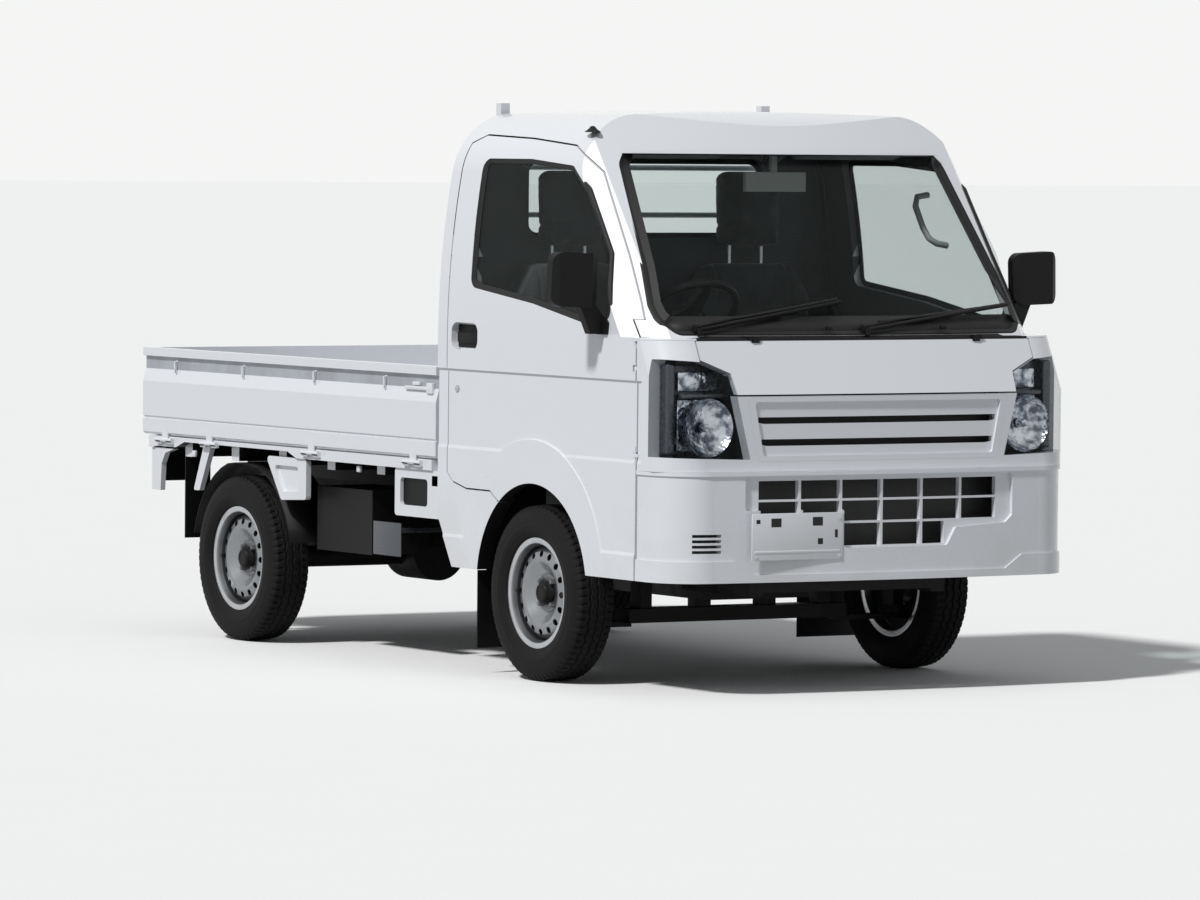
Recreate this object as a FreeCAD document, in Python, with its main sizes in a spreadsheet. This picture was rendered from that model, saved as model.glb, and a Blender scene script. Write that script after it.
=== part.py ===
import FreeCAD, Part
import math
import os
import re
import Sketcher
from FreeCAD import Placement, Rotation, Vector

# A small cab-over truck with a drop-side bed. Millimetres; +Z is up, the front faces -Y and the
# driver sits at -X. The origin lies on the ground at the middle of the truck's outer box.
doc = FreeCAD.newDocument("small_truck")
sheet = doc.addObject("Spreadsheet::Sheet", "Sizes")

SIZES = """
body_half 737.5
length_half 1697.5
front_axle -846
rear_axle 1059
front_track_half 652.5
rear_track_half 645
tyre_radius 271
tyre_wide 145
kingpin_half 600

hull_low 300
cab_back -285
belt_high 1029
tumble_half 689
tumble_high 1560
tumble_radius 2931
roof_half 470
roof_high 1740
roof_corner_radius 225
roof_crown_radius 11000
bow_front -1165
bow_low 1645
bow_back -945
bow_high 1751
bow_radius 283
screen_front -1575
screen_low 1072
screen_slope 0.755
screen_radius 2500
pillar_reach 200
screen_front_half 640
pillar_slope 1.3
nose_front_half 600
nose_side_front -1652
nose_crown_radius 9010
nose_corner_back -1510
nose_corner_radius 140
nose_spread 6
lid_low 906
lid_slope 0.488
lid_pivot -1588

door_thick 37.5
door_gap 5
hinge_gap 8
pillar_bend 1125
flange_deep 45
flange_thick 8
flange_reach 16
door_front -1452
door_back -345
door_low 345
arch_radius 325
arch_middle -858
arch_high 283
belt_step 943
step_deep 6.5
swage_step 696
swage_deep 3.5
sill_step 418
flare_middle -856
flare_high 326
flare_radius 415
glass_inset 10
glass_thick 5
seal_gap 0.3
front_panel_back -1460
panel_thick 40
panel_low 676
lid_thick 25
lamp_deep 90
lamp_back -1527
grille_thick 24
bumper_low 345
bumper_top 675.7
bumper_thick 35
bumper_set_back 6
bumper_front_half 587.5
bumper_side_front -1670
bumper_crown_radius 6400
bumper_corner_back -1520
bumper_corner_radius 150

gate_outer 727
gate_thick 35
gate_low 656
gate_top 945
gate_front -258
gate_back 1683
gate_pivot_half 730.5
gate_pivot_high 640
knuckle_radius 7
pin_radius 3
pin_clear 0.3
tail_outer 1687
tail_pivot 1690.5
deck_top 655
deck_thick 15
deck_front -226
deck_back 1648
rail_half 722
rail_low 612

frame_half 330
frame_wide 50
frame_low 430
frame_deep 100
frame_front -1500
frame_back 1600
rail_wide 34
bracket_face -715
bracket_thick 18
bracket_web 12
head_front -262
guard_half 486
guard_top 1770
hinge_half 55
knuckle_long 35
gate_knuckle_half 19.5

seat_middle 330
seat_deck_low 640
steer_back -1080
steer_high 1120
steer_radius 166
shaft_radius 16
strut_foot_half 622
strut_foot_high 175
strut_head_half 525
strut_head_high 640
rim_hole_radius 10
"""

rows = [line.split() for line in SIZES.splitlines() if line]
for row, (name, number) in enumerate(rows, 1):
    sheet.set(f"A{row}", name)
    sheet.set(f"B{row}", number)
    sheet.setAlias(f"B{row}", name)
doc.recompute()
ALIASES = {name for name, number in rows}


def sized(rule):
    """Write an expression over the sheet's aliases, from their bare names."""
    return re.sub(r"[a-z_]+", lambda word: "Sizes." + word.group()
                  if word.group() in ALIASES else word.group(), str(rule))


def worth(rule):
    return float(sheet.evalExpression(sized(rule)))


def bind(item, **rules):
    for path, rule in rules.items():
        item.setExpression(path.replace("_", "."), sized(rule))
    return item


def place(item, x=0, y=0, z=0, turn=None):
    if turn:
        item.Placement = Placement(Vector(), turn)
    for axis, rule in zip("xyz", (x, y, z)):
        item.setExpression(f"Placement.Base.{axis}", sized(rule))
    return item


def block(name, x, y, z):
    """A box between two places along each axis."""
    item = doc.addObject("Part::Box", name)
    bind(item, Length=f"{x[1]} - ({x[0]})", Width=f"{y[1]} - ({y[0]})", Height=f"{z[1]} - ({z[0]})")
    return place(item, x[0], y[0], z[0])


TURNS = {"X": Rotation(Vector(0, 1, 0), 90), "Y": Rotation(Vector(1, 0, 0), -90), "Z": Rotation()}


def rod(name, axis, start, long, radius):
    """A round bar that runs from start along +X, +Y or +Z."""
    item = doc.addObject("Part::Cylinder", name)
    bind(item, Radius=radius, Height=long)
    return place(item, *start, turn=TURNS[axis])


def bar(name, first, last, radius):
    """A round bar between two points."""
    item = doc.addObject("Part::Cylinder", name)
    way = Vector(*last) - Vector(*first)
    bind(item, Radius=radius)
    item.Height = way.Length
    item.Placement = Placement(Vector(*first), Rotation(Vector(0, 0, 1), way))
    return item


def arc_between(first, last, radius, turn):
    """A circle's arc between two points, bulging right of the way travelled when turn is +1."""
    middle = (first + last) / 2
    along = last - first
    height = math.sqrt(max(radius ** 2 - along.Length ** 2 / 4, 0))
    left = Vector(-along.y, along.x, 0).normalize()
    centre = middle + left * height * turn
    circle = Part.Circle(centre, Vector(0, 0, 1), radius)
    ends = (first, last) if turn > 0 else (last, first)
    angles = [math.atan2(end.y - centre.y, end.x - centre.x) for end in ends]
    return Part.ArcOfCircle(circle, *angles)


def outline(owner, name, plane, corners, level="0"):
    """A closed sketch. A corner is (u, v), or (u, v, radius, turn) where an arc leaves it."""
    sketch = owner.newObject("Sketcher::SketchObject", name)
    base = [part for part in owner.Origin.OriginFeatures if part.Role == plane + "_Plane"][0]
    sketch.AttachmentSupport = [(base, "")]
    sketch.MapMode = "FlatFace"
    side = f"-({level})" if plane == "XZ" else level
    sketch.setExpression("AttachmentOffset.Base.z", sized(side))
    points = [Vector(worth(corner[0]), worth(corner[1]), 0) for corner in corners]
    count = len(corners)
    ends = []
    for index, corner in enumerate(corners):
        first, last = points[index], points[(index + 1) % count]
        if len(corner) > 2:
            sketch.addGeometry(arc_between(first, last, worth(corner[2]), corner[3]))
            ends.append((1, 2) if corner[3] > 0 else (2, 1))
        else:
            sketch.addGeometry(Part.LineSegment(first, last))
            ends.append((1, 2))
    for index, corner in enumerate(corners):
        following = (index + 1) % count
        sketch.addConstraint(Sketcher.Constraint("Coincident", index, ends[index][1],
                                                 following, ends[following][0]))
    for index, corner in enumerate(corners):
        for kind, rule in (("DistanceX", corner[0]), ("DistanceY", corner[1])):
            rule_id = sketch.addConstraint(Sketcher.Constraint(kind, -1, 1, index, ends[index][0],
                                                               worth(rule)))
            sketch.setExpression(f"Constraints[{rule_id}]", sized(rule))
        if len(corner) > 2:
            rule_id = sketch.addConstraint(Sketcher.Constraint("Radius", index, worth(corner[2])))
            sketch.setExpression(f"Constraints[{rule_id}]", sized(corner[2]))
    return sketch


def slab(name, plane, corners, low, high, lean=None):
    """An outline padded from low to high along its plane's axis; lean slants the pad along Y."""
    body = doc.addObject("PartDesign::Body", name)
    start = high if plane == "XZ" else low
    sketch = outline(body, name + "_outline", plane, corners, start)
    pad = body.newObject("PartDesign::Pad", name + "_pad")
    pad.Profile = sketch
    bind(pad, Length=f"{high} - ({low})")
    if lean:
        pad.UseCustomVector = True
        pad.AlongSketchNormal = True
        pad.Direction = Vector(0, worth(lean), 1)
        pad.setExpression("Direction.y", sized(lean))
    return body


def turned(name, corners):
    """A body turned about the X axis; a corner's u is its place along X and v its radius."""
    body = doc.addObject("PartDesign::Body", name)
    sketch = outline(body, name + "_outline", "XY", corners)
    spin = body.newObject("PartDesign::Revolution", name + "_turn")
    spin.Profile = sketch
    spin.ReferenceAxis = (sketch, ["H_Axis"])
    spin.Angle = 360
    return body


def fuse(name, *parts):
    item = doc.addObject("Part::MultiFuse", name)
    item.Shapes = list(parts)
    return item


def common(name, first, *others):
    """What every one of the solids holds."""
    item = first
    for step, other in enumerate(others, 1):
        base = item
        item = doc.addObject("Part::Common", name if step == len(others) else f"{name}_step{step}")
        item.Base = base
        item.Tool = other
    return item


def cut(name, base, *tools):
    tool = tools[0] if len(tools) == 1 else fuse(name + "_tools", *tools)
    item = doc.addObject("Part::Cut", name)
    item.Base = base
    item.Tool = tool
    return item


def group(name, *parts):
    """Like pieces that don't touch, kept together."""
    item = doc.addObject("Part::Compound", name)
    item.Links = list(parts)
    return item


def mirrored(name, source):
    item = doc.addObject("Part::Mirroring", name)
    item.Source = source
    item.Normal = Vector(1, 0, 0)
    return item


def rectangle(u, v):
    return [(u[0], v[0]), (u[1], v[0]), (u[1], v[1]), (u[0], v[1])]


def softened(corners, radius):
    """The same outline with an arc at each corner whose place is plain numbers."""
    spots = [Vector(worth(corner[0]), worth(corner[1]), 0) for corner in corners]
    made = []
    for index, corner in enumerate(corners):
        plain = all(re.fullmatch(r"-?[0-9.]+", rule) for rule in corner[:2])
        before = spots[index - 1] - spots[index]
        after = spots[(index + 1) % len(corners)] - spots[index]
        back = radius / math.tan(before.getAngle(after) / 2)
        if len(corner) > 2 or not plain or back < 0.8 or back > 0.48 * min(before.Length, after.Length):
            made.append(corner)
            continue
        first = spots[index] + before.normalize() * back
        last = spots[index] + after.normalize() * back
        turn = 1 if before.cross(after).z < 0 else -1
        made.append((f"{first.x:.4f}", f"{first.y:.4f}", f"{radius}", turn))
        made.append((f"{last.x:.4f}", f"{last.y:.4f}"))
    return made


nodes = []


def keep(*items):
    nodes.extend(items)


WIDE = ("-body_half - 90", "body_half + 90")
AHEAD = "-length_half - 200"

# ---- Cab surfaces -------------------------------------------------------------------------
# Each surface is a prism, made again further in for the far side of a wall.
def cab_section(name, inset):
    side = f"body_half - {inset}"
    shoulder = f"tumble_half - {inset}"
    roof = f"roof_high - {inset}"
    corners = [(f"-({side})", "hull_low"), (side, "hull_low"),
               (side, "belt_high", f"tumble_radius - {inset}", 1),
               (shoulder, "tumble_high", f"roof_corner_radius - {inset}", 1),
               ("roof_half", roof, "roof_crown_radius", 1),
               ("-roof_half", roof, f"roof_corner_radius - {inset}", 1),
               (f"-({shoulder})", "tumble_high", f"tumble_radius - {inset}", 1),
               (f"-({side})", "belt_high")]
    return slab(name, "XZ", corners, "-length_half - 300", f"cab_back - {inset}")


def screen_wedge(name, inset):
    front = f"screen_front - (screen_low - hull_low + 40) * screen_slope + {inset} * 1.25"
    near = f"{front} + screen_radius - sqrt(screen_radius ^ 2 - screen_front_half ^ 2)"
    side = "screen_front_half + pillar_reach"
    back = f"{near} + pillar_reach * pillar_slope"
    corners = [(f"-({side})", back), ("-screen_front_half", near, "screen_radius", 1),
               ("screen_front_half", near), (side, back), (side, "length_half"),
               (f"-({side})", "length_half")]
    return slab(name, "XY", corners, "hull_low - 40", "bow_high + 60", "screen_slope")


def nose_block(name, inset):
    """The nose's plan outline, upright below the lid's lower edge and leaning back above it."""
    side = f"body_half + nose_spread - {inset}"
    front = f"nose_side_front + {inset}"
    bend = f"nose_corner_radius - {inset} * 0.9"
    corners = [(f"-({side})", "nose_corner_back", bend, 1),
               ("-nose_front_half", front, "nose_crown_radius", 1),
               ("nose_front_half", front, bend, 1), (side, "nose_corner_back"), (side, "0"),
               (f"-({side})", "0")]
    wall = slab(name + "_wall", "XY", corners, "hull_low - 20", "lid_low")
    wedge = slab(name + "_wedge", "XY", corners, "lid_low", f"screen_low - {inset} * 0.3", "lid_slope")
    return fuse(name, wall, wedge)


def roof_bow(name, inset):
    top = f"bow_high - {inset}"
    front = f"bow_low - {inset} * 0.65"
    corners = [("-length_half - 800", "screen_low - 30"), ("0", "screen_low - 30"), ("0", top),
               ("bow_back", top, f"bow_radius - {inset}", 1), (f"bow_front + {inset} * 0.8", front),
               ("-length_half - 800", front)]
    return slab(name, "YZ", corners, "-body_half - 60", "body_half + 60")


def nose_hull(name, inset):
    return common(name, nose_block(name + "_block", inset), cab_section(name + "_section", inset))


def cab_hull(name, inset):
    upper = common(name + "_upper", cab_section(name + "_shoulder", inset), roof_bow(name + "_bow", inset),
                   screen_wedge(name + "_screen", inset))
    return fuse(name, nose_hull(name + "_lower", inset), upper)


hull_outer = cab_hull("hull_outer", "0")
hull_door = cab_hull("hull_door", "door_thick")
hull_flange = cab_hull("hull_flange", "flange_deep")
hull_inner = cab_hull("hull_inner", "(flange_deep + flange_thick)")

# ---- Door outline in side view (y, z) ------------------------------------------------------
DOOR = [("door_back", "1643"), ("-404", "1668"), ("-694", "1659"), ("-966", "1640"), ("-1040", "1613"),
        ("-1112", "1561"), ("-1200", "1433"), ("-1285", "1310"), ("-1370", "1178"),
        ("door_front", "1040"), ("door_front", "door_low"), ("-1160", "door_low"),
        ("-655", "548"), ("-609", "576"), ("-460", "576"), ("-379", "594"), ("door_back", "622")]


def side_outline(name, corners):
    body = doc.addObject("PartDesign::Body", name)
    return outline(body, name + "_line", "YZ", corners)


def across(name, sketch, grow=None, low="-body_half - 80", high="body_half + 80"):
    """Push a side-view outline across the truck, grown or shrunk all round when asked."""
    source = sketch
    if grow:
        source = doc.addObject("Part::Offset2D", name + "_grown")
        source.Source = sketch
        source.Join = 2
        bind(source, Value=grow)
    push = doc.addObject("Part::Extrusion", name)
    push.Base = source
    push.DirMode = "Custom"
    push.Dir = Vector(1, 0, 0)
    push.Solid = True
    push.setExpression("LengthFwd", sized(high))
    push.setExpression("LengthRev", sized(f"-({low})"))
    return push


door_line = side_outline("door_line", DOOR)
arch = rod("arch", "X", ("-body_half - 100", "arch_middle", "arch_high"), "body_half * 2 + 200",
           "arch_radius")
opening_wide = cut("opening_wide", across("opening_full", door_line, "door_gap"), hull_flange)
# The side panel steps in under the belt, part of the way out again at the swage, and right out at the
# sill and the arch's flare.
STEPS = [("-body_half - 12", "belt_step + 1"), ("-body_half + step_deep", "belt_step"),
         ("-body_half + step_deep", "swage_step + 10"), ("-body_half + swage_deep", "swage_step"),
         ("-body_half + swage_deep", "sill_step + 10"), ("-body_half", "sill_step"),
         ("-body_half - 12", "sill_step")]
step_band = slab("step_band", "XZ", STEPS, "-1487", "cab_back + 10")
flare = doc.addObject("Part::Cone", "flare")
bind(flare, Radius1="flare_radius - 6", Radius2="flare_radius + 8", Height="28")
place(flare, "-body_half - 14", "flare_middle", "flare_high", turn=TURNS["X"])
step_right = cut("step_right", step_band, flare)
step_left = mirrored("step_left", step_right)
hinge_room = block("hinge_room", WIDE, ("door_front - hinge_gap", "door_front + 10"),
                   ("door_low - door_gap", "1062"))
opening_clear = across("opening_clear", door_line, "-flange_reach")
under = slab("under_cab", "YZ", [("-length_half - 90", "hull_low - 60"), ("0", "hull_low - 60"), ("0", "480"),
                                 ("-288", "480"), ("-297", "465"), ("-381", "326"), ("-600", "326"),
                                 ("-700", "350"), ("-length_half - 90", "350")], *WIDE)
front_room = block("front_room", WIDE, (AHEAD, "front_panel_back + 1"), ("0", "1066.3"))
SCREEN = [("-615", "1078"), ("615", "1078"), ("652", "1115"), ("655", "1163"), ("594", "1590"),
          ("570", "1620"), ("-570", "1620"), ("-594", "1590"), ("-655", "1163"), ("-652", "1115")]
screen_hole = slab("screen_hole", "XZ", softened(SCREEN, 45), AHEAD, "-1000")
BACK_HOLE_DEEP = ("cab_back - 90", "cab_back + 20")
back_hole = slab("back_hole", "XZ", softened(rectangle(("-443", "443"), ("1348", "1600")), 50),
                 *BACK_HOLE_DEEP)
rear_pane_hole = slab("rear_pane_hole", "XZ",
                      softened(rectangle(("-442.7", "442.7"), ("1348.3", "1599.7")), 49.7),
                      *BACK_HOLE_DEEP)
cab_skin = cut("cab_skin", hull_outer, hull_inner)
cowl_form = block("cowl_form", ("-600", "600"), (AHEAD, "-1513"), ("1066.3", "1077.7"))
frame_room = block("frame_room", ("-650", "650"), ("-420", "-200"), ("200", "545"))
cab_shell = cut("cab_shell", cab_skin, step_right, step_left, opening_wide, hinge_room, opening_clear,
                under, front_room, screen_hole, back_hole, arch, cowl_form, frame_room)
keep(cab_shell)

# ---- Glass ---------------------------------------------------------------------------------
screen_band = cut("screen_band", screen_wedge("glass_front", "glass_inset"),
                  screen_wedge("glass_rear", "(glass_inset + glass_thick)"))
windscreen = common("windscreen", screen_band, screen_hole)
rear_window = common("rear_window", rear_pane_hole,
                     block("rear_pane", ("-500", "500"), ("cab_back - 25", "cab_back - 20"),
                           ("1300", "1650")))
keep(windscreen, rear_window)

# ---- Doors: right-hand ones are built, left-hand ones mirror them ---------------------------
WINDOW = [("-465", "1598"), ("-474", "1200"), ("-850", "1158"), ("-1247", "1091"), ("-1310", "1139"),
          ("-1241", "1319"), ("-1100", "1514"), ("-1000", "1581"), ("-743", "1599")]
window_line = side_outline("window_line", softened(WINDOW, 34))
RIGHT = {"low": "-body_half - 60", "high": "-400"}
door_skin = cut("door_skin", hull_outer, hull_door)
door_blank = common("door_blank", door_skin, across("door_form", door_line, None, **RIGHT))
window_hole = across("window_hole", window_line, None, **RIGHT)
handle_cup = slab("handle_cup", "YZ", softened(rectangle(("-526", "-368"), ("1004", "1088")), 30),
                  "-body_half - 5", "-body_half + 24")
hinge_tools = []
hinge_tabs = []
for place_name, height in (("low", "720"), ("high", "980")):
    spot = ("-body_half + 5", "door_front + 5")
    hinge_tools.append(block(f"hinge_slot_{place_name}", ("-body_half - 3", "-body_half + 16"),
                             ("door_front - 3", "door_front + 16"), (f"{height} - 10", f"{height} + 10")))
    hinge_tools.append(rod(f"hinge_bore_{place_name}", "Z", (*spot, f"{height} - 26"), "52",
                           "pin_radius + pin_clear"))
    tab = block(f"hinge_tab_{place_name}", ("-body_half + 2", "-body_half + 8"),
                ("front_panel_back - 4", "door_front + 9"), (f"{height} - 5", f"{height} + 5"))
    pin = rod(f"hinge_pin_{place_name}", "Z", (*spot, f"{height} - 25"), "50", "pin_radius")
    hinge_tabs.extend([tab, pin])
# The door keeps only its side skin at the pillar, because anything further in swings into the shell.
pillar_foot = block("pillar_foot", ("-body_half + door_thick - 0.5", RIGHT["high"]),
                    ("-1470", "-1370"), ("1045", "pillar_bend"))
pillar_head = block("pillar_head", ("-636", RIGHT["high"]), ("-1470", "-1058"), ("pillar_bend", "1600"))
door_right = cut("door_right", door_blank, step_right, arch, window_hole, handle_cup, pillar_foot,
                 pillar_head, *hinge_tools)
pane_band = cut("pane_band", cab_section("pane_outer", "glass_inset"),
                cab_section("pane_inner", "(glass_inset + glass_thick)"))
door_glass_right = common("door_glass_right", pane_band, window_hole)
MIRROR_FACE = softened([("-924", "1162"), ("-764", "1156"), ("-758", "1318"), ("-918", "1326")], 32)
MIRROR_PLAN = softened([("-928", "-1238"), ("-928", "-1262"), ("-900", "-1284"), ("-785", "-1284"),
                        ("-756", "-1262"), ("-756", "-1238")], 12)
mirror_head = common("mirror_head", slab("mirror_face", "XZ", MIRROR_FACE, "-1290", "-1230"),
                     slab("mirror_plan", "XY", MIRROR_PLAN, "1150", "1332"))
mirror_neck = slab("mirror_neck", "XZ", [("-body_half - 50", "1078"), ("-body_half + 12", "1078"),
                                         ("-body_half + 12", "1112"), ("-782", "1180"), ("-832", "1180")],
                   "-1274", "-1244")
mirror_foot = slab("mirror_foot", "YZ", softened([("-1296", "1076"), ("-1236", "1076"), ("-1228", "1116"),
                                                  ("-1274", "1132"), ("-1300", "1112")], 8),
                   "-body_half - 8", "-body_half + 20")
door_mirror_right = cut("door_mirror_right",
                        fuse("mirror_whole", mirror_head, mirror_neck, mirror_foot), hull_outer)
keep(door_right, door_glass_right, door_mirror_right)
for right in (door_right, door_glass_right, door_mirror_right):
    keep(mirrored(right.Name.replace("right", "left"), right))

# ---- Nose ----------------------------------------------------------------------------------
nose_outer = nose_hull("nose_outer", "0")
LID = [("-504", "lid_low"), ("504", "lid_low"), ("510", "968"), ("602", "1008"), ("602", "1064"),
       ("-602", "1064"), ("-602", "1008"), ("-510", "968")]
LAMP = [("460", "712"), ("745", "720"), ("745", "1010"), ("709", "1010"), ("604", "1003"), ("515", "964"),
        ("508", "904")]
GRILLE = softened([("-433", "706"), ("433", "706"), ("471", "899"), ("-471", "899")], 12)
GRILLE_FACE = softened([("-414", "722"), ("414", "722"), ("446", "884"), ("-446", "884")], 10)


def front_line(name, corners):
    body = doc.addObject("PartDesign::Body", name)
    return outline(body, name + "_line", "XZ", corners)


def along(name, sketch, grow, back):
    """Push a front-view outline back from ahead of the truck."""
    source = sketch
    if grow:
        source = doc.addObject("Part::Offset2D", name + "_grown")
        source.Source = sketch
        source.Join = 2
        bind(source, Value=grow)
    push = doc.addObject("Part::Extrusion", name)
    push.Base = source
    push.DirMode = "Custom"
    push.Dir = Vector(0, -1, 0)
    push.Solid = True
    push.setExpression("LengthFwd", sized(f"-({AHEAD})"))
    push.setExpression("LengthRev", sized(back))
    return push


lid_line = front_line("lid_line", LID)
lamp_line = front_line("lamp_line", LAMP)
grille_line = front_line("grille_line", GRILLE)
lid_skin = cut("lid_skin", nose_outer, nose_hull("lid_under", "lid_thick"))
lid_plate = common("lid_plate", lid_skin, along("lid_form", lid_line, None, "-1300"))
lamp_room = along("lamp_room", lamp_line, "seal_gap", "lamp_back + seal_gap")
lamp_solid = cut("lamp_solid", nose_outer, nose_hull("lamp_under", "lamp_deep"))
lamp_left = common("lamp_left", lamp_solid, along("lamp_form", lamp_line, None, "lamp_back"))
headlamps = group("headlamps", lamp_left, mirrored("lamp_right", lamp_left))
grille_skin = cut("grille_skin", nose_outer, nose_hull("grille_under", "grille_thick"))
grille_blank = common("grille_blank", grille_skin, along("grille_form", grille_line, None, "-1300"))
grille_face = common("grille_face", cut("grille_face_skin", nose_outer, nose_hull("grille_floor", "8")),
                     along("grille_face_form", front_line("grille_face_line", GRILLE_FACE), None, "-1300"))
slots = []
for index, (low, half) in enumerate(((818, 430), (752, 418))):
    slot_shape = [(f"-{half}", f"{low + 4}"), (f"-{half - 20}", f"{low}"), (f"{half - 20}", f"{low}"),
                  (f"{half}", f"{low + 4}"), (f"{half}", f"{low + 20}"), (f"-{half}", f"{low + 20}")]
    slots.append(slab(f"grille_slot_{index}", "XZ", slot_shape, AHEAD, "-1300"))
grille_panel = cut("grille_panel", grille_blank, grille_face, *slots)
panel_skin = cut("panel_skin", nose_outer, nose_hull("panel_under", "panel_thick"))
panel_room = block("panel_room", WIDE, (AHEAD, "front_panel_back"), ("panel_low", "1065.7"))
panel_blank = common("panel_blank", panel_skin, panel_room)
panel_cut = cut("panel_cut", panel_blank, along("lid_room", lid_line, "door_gap", "-1300"), lamp_room,
                mirrored("lamp_room_right", lamp_room),
                along("grille_room", grille_line, "seal_gap", "-1300"))
tabs_right = fuse("tabs_right", *hinge_tabs)
panel_stepped = cut("panel_stepped", panel_cut, step_right, step_left)
front_panel = fuse("front_panel", panel_stepped, tabs_right, mirrored("tabs_left", tabs_right))
keep(headlamps, grille_panel, front_panel)


def bumper_solid(name, inset):
    side = f"body_half - {inset}"
    front = f"bumper_side_front + {inset}"
    bend = f"bumper_corner_radius - {inset}"
    corners = [(f"-({side})", "bumper_corner_back", bend, 1),
               ("-bumper_front_half", front, "bumper_crown_radius", 1),
               ("bumper_front_half", front, bend, 1), (side, "bumper_corner_back"),
               (side, "front_panel_back"), (f"-({side})", "front_panel_back")]
    return slab(name, "XY", corners, "bumper_low", "bumper_top")


# The middle of the bumper sits back from a lip below it and a rounded shelf above it. Its grid of
# openings has a sunk frame, and the lower row is short so that a number plate can sit beside it.
LIP = [("-body_half - 20", "300"), ("body_half + 20", "300"), ("body_half + 20", "410"),
       ("520", "410"), ("455", "368"), ("-455", "368"), ("-520", "410"), ("-body_half - 20", "410")]
SHELF = rectangle(("-body_half - 20", "body_half + 20"), ("664", "700"))
GRID_FRAME = softened([("-484", "658"), ("484", "658"), ("484", "530"), ("458", "508"),
                       ("268", "498"), ("236", "444"), ("-140", "444"), ("-140", "560"),
                       ("-484", "560")], 11)
COLUMNS = (-437, -291, -146, 0, 146, 291, 430)
# name, low, high, edges between the cells
CELLS = [("top", 592, 648, COLUMNS), ("middle", 524, 585, COLUMNS),
         ("low", 450, 517, (-146, 0, 146, 236))]
bumper_outer = bumper_solid("bumper_outer", "0")
bumper_lip = common("bumper_lip", bumper_outer, along("lip_form", front_line("lip_line", LIP), None, "-1300"))
bumper_shelf = common("bumper_shelf", bumper_solid("bumper_shelf_outer", "1"),
                      along("shelf_form", front_line("shelf_line", SHELF), None, "-1300"))
bumper_full = fuse("bumper_full", bumper_solid("bumper_face", "bumper_set_back"), bumper_lip, bumper_shelf)
cells = []
for name, low, high, edges in CELLS:
    for index, (left, right) in enumerate(zip(edges, edges[1:])):
        cells.append(block(f"cell_{name}_{index}", (left + 4.5, right - 4.5), (AHEAD, "-1500"), (low, high)))
for index in range(4):
    cells.append(block(f"vent_{index}", (-655, -563), (AHEAD, "-1500"), (434 + index * 16, 443 + index * 16)))
frame_tool = common("frame_tool", bumper_outer,
                    along("frame_form", front_line("frame_line", GRID_FRAME), None, "-1300"))
frame_sunk = cut("frame_sunk", frame_tool, bumper_solid("bumper_frame_floor", "bumper_set_back + 12"))
front_bumper = cut("front_bumper", bumper_full, bumper_solid("bumper_inner", "bumper_thick"),
                   frame_sunk, *cells)
keep(front_bumper)

# ---- Cowl and wipers -----------------------------------------------------------------------
cowl_arms = []
lid_lugs = []
lug_rooms = []
LID_PIVOT = ("lid_pivot", "1073")
for side in (-1, 1):
    x = side * 400
    near, far = sorted((x + side * 14, x + side * 22))
    arm_span = ("lid_pivot - 5", "-1530")
    lug_span = ("lid_pivot - 6", "lid_pivot + 6")
    cowl_arms.append(block(f"lid_arm_{side + 1}", (near, far), arm_span, ("1067.5", "1077")))
    cowl_arms.append(rod(f"lid_pin_{side + 1}", "X", (min(x - side * 12, near), *LID_PIVOT), 34, 2))
    lug_rooms.append(block(f"lug_room_{side + 1}", (x - 14, x + 14), (AHEAD, "-1558"), ("1050", "1090")))
    lid_lugs.append(block(f"lid_lug_{side + 1}", (x - 12, x + 12), lug_span, ("1058", "1077.5")))
cowl_strip = cut("cowl_strip", common("cowl_blank", hull_outer, cowl_form), *lug_rooms)
cowl_panel = fuse("cowl_panel", cowl_strip, *cowl_arms)
lid_bore = rod("lid_bore", "X", ("-500", *LID_PIVOT), 1000, "2 + pin_clear")
hood_lid = cut("hood_lid", fuse("lid_whole", lid_plate, *lid_lugs), lid_bore)
keep(hood_lid)
WIPERS = [("right", (-551, -1515, 1096), (-47, -1515, 1178)), ("left", (12, -1575, 1096), (600, -1462, 1165))]
arms = []
for name, foot, tip in WIPERS:
    post = rod(f"wiper_post_{name}", "Z", (foot[0], foot[1], 1078), 24, 9)
    arms.append(fuse(f"wiper_{name}", post, bar(f"wiper_arm_{name}", foot, tip, 6)))
wipers = group("wipers", *arms)
keep(cowl_panel, wipers)

# ---- Cab floor and dashboard ---------------------------------------------------------------
FLOOR_WIDE = ("-684.2", "684.2")
cab_floor = fuse("cab_floor",
                 block("foot_floor", FLOOR_WIDE, ("-1512", "-1180"), ("380", "392")),
                 block("foot_wall", ("-640", "640"), ("-1524", "-1512"), ("380", "1060")),
                 block("seat_riser", FLOOR_WIDE, ("-1192", "-1180"), ("392", "seat_deck_low")),
                 block("seat_deck", FLOOR_WIDE, ("-1192", "-338.3"),
                       ("seat_deck_low", "seat_deck_low + 12")),
                 block("tunnel_right", ("-424", "-412"), ("-1180", "-380"), ("380", "seat_deck_low")),
                 block("tunnel_left", ("412", "424"), ("-1180", "-380"), ("380", "seat_deck_low")))
DASH = [("-1511.7", "840"), ("-1330", "800"), ("-1290", "900"), ("-1290", "1060"), ("-1330", "1078"),
        ("-1415", "1066"), ("-1420", "1052"), ("-1500", "1040"), ("-1511.7", "1030")]
COLUMN_TILT = 50
lean = Rotation(Vector(1, 0, 0), -(90 - COLUMN_TILT))
wheel_spot = Vector(-worth("seat_middle"), worth("steer_back"), worth("steer_high"))
column_room = fuse("column_room", rod("shaft_room", "Z", (0, 0, -660), 640, 24),
                   rod("shroud_room", "Z", (0, 0, -335), 320, 42))
column_room.Placement = Placement(wheel_spot, lean)
dashboard = cut("dashboard", slab("dash_form", "YZ", DASH, "-640", "640"), column_room)
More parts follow.
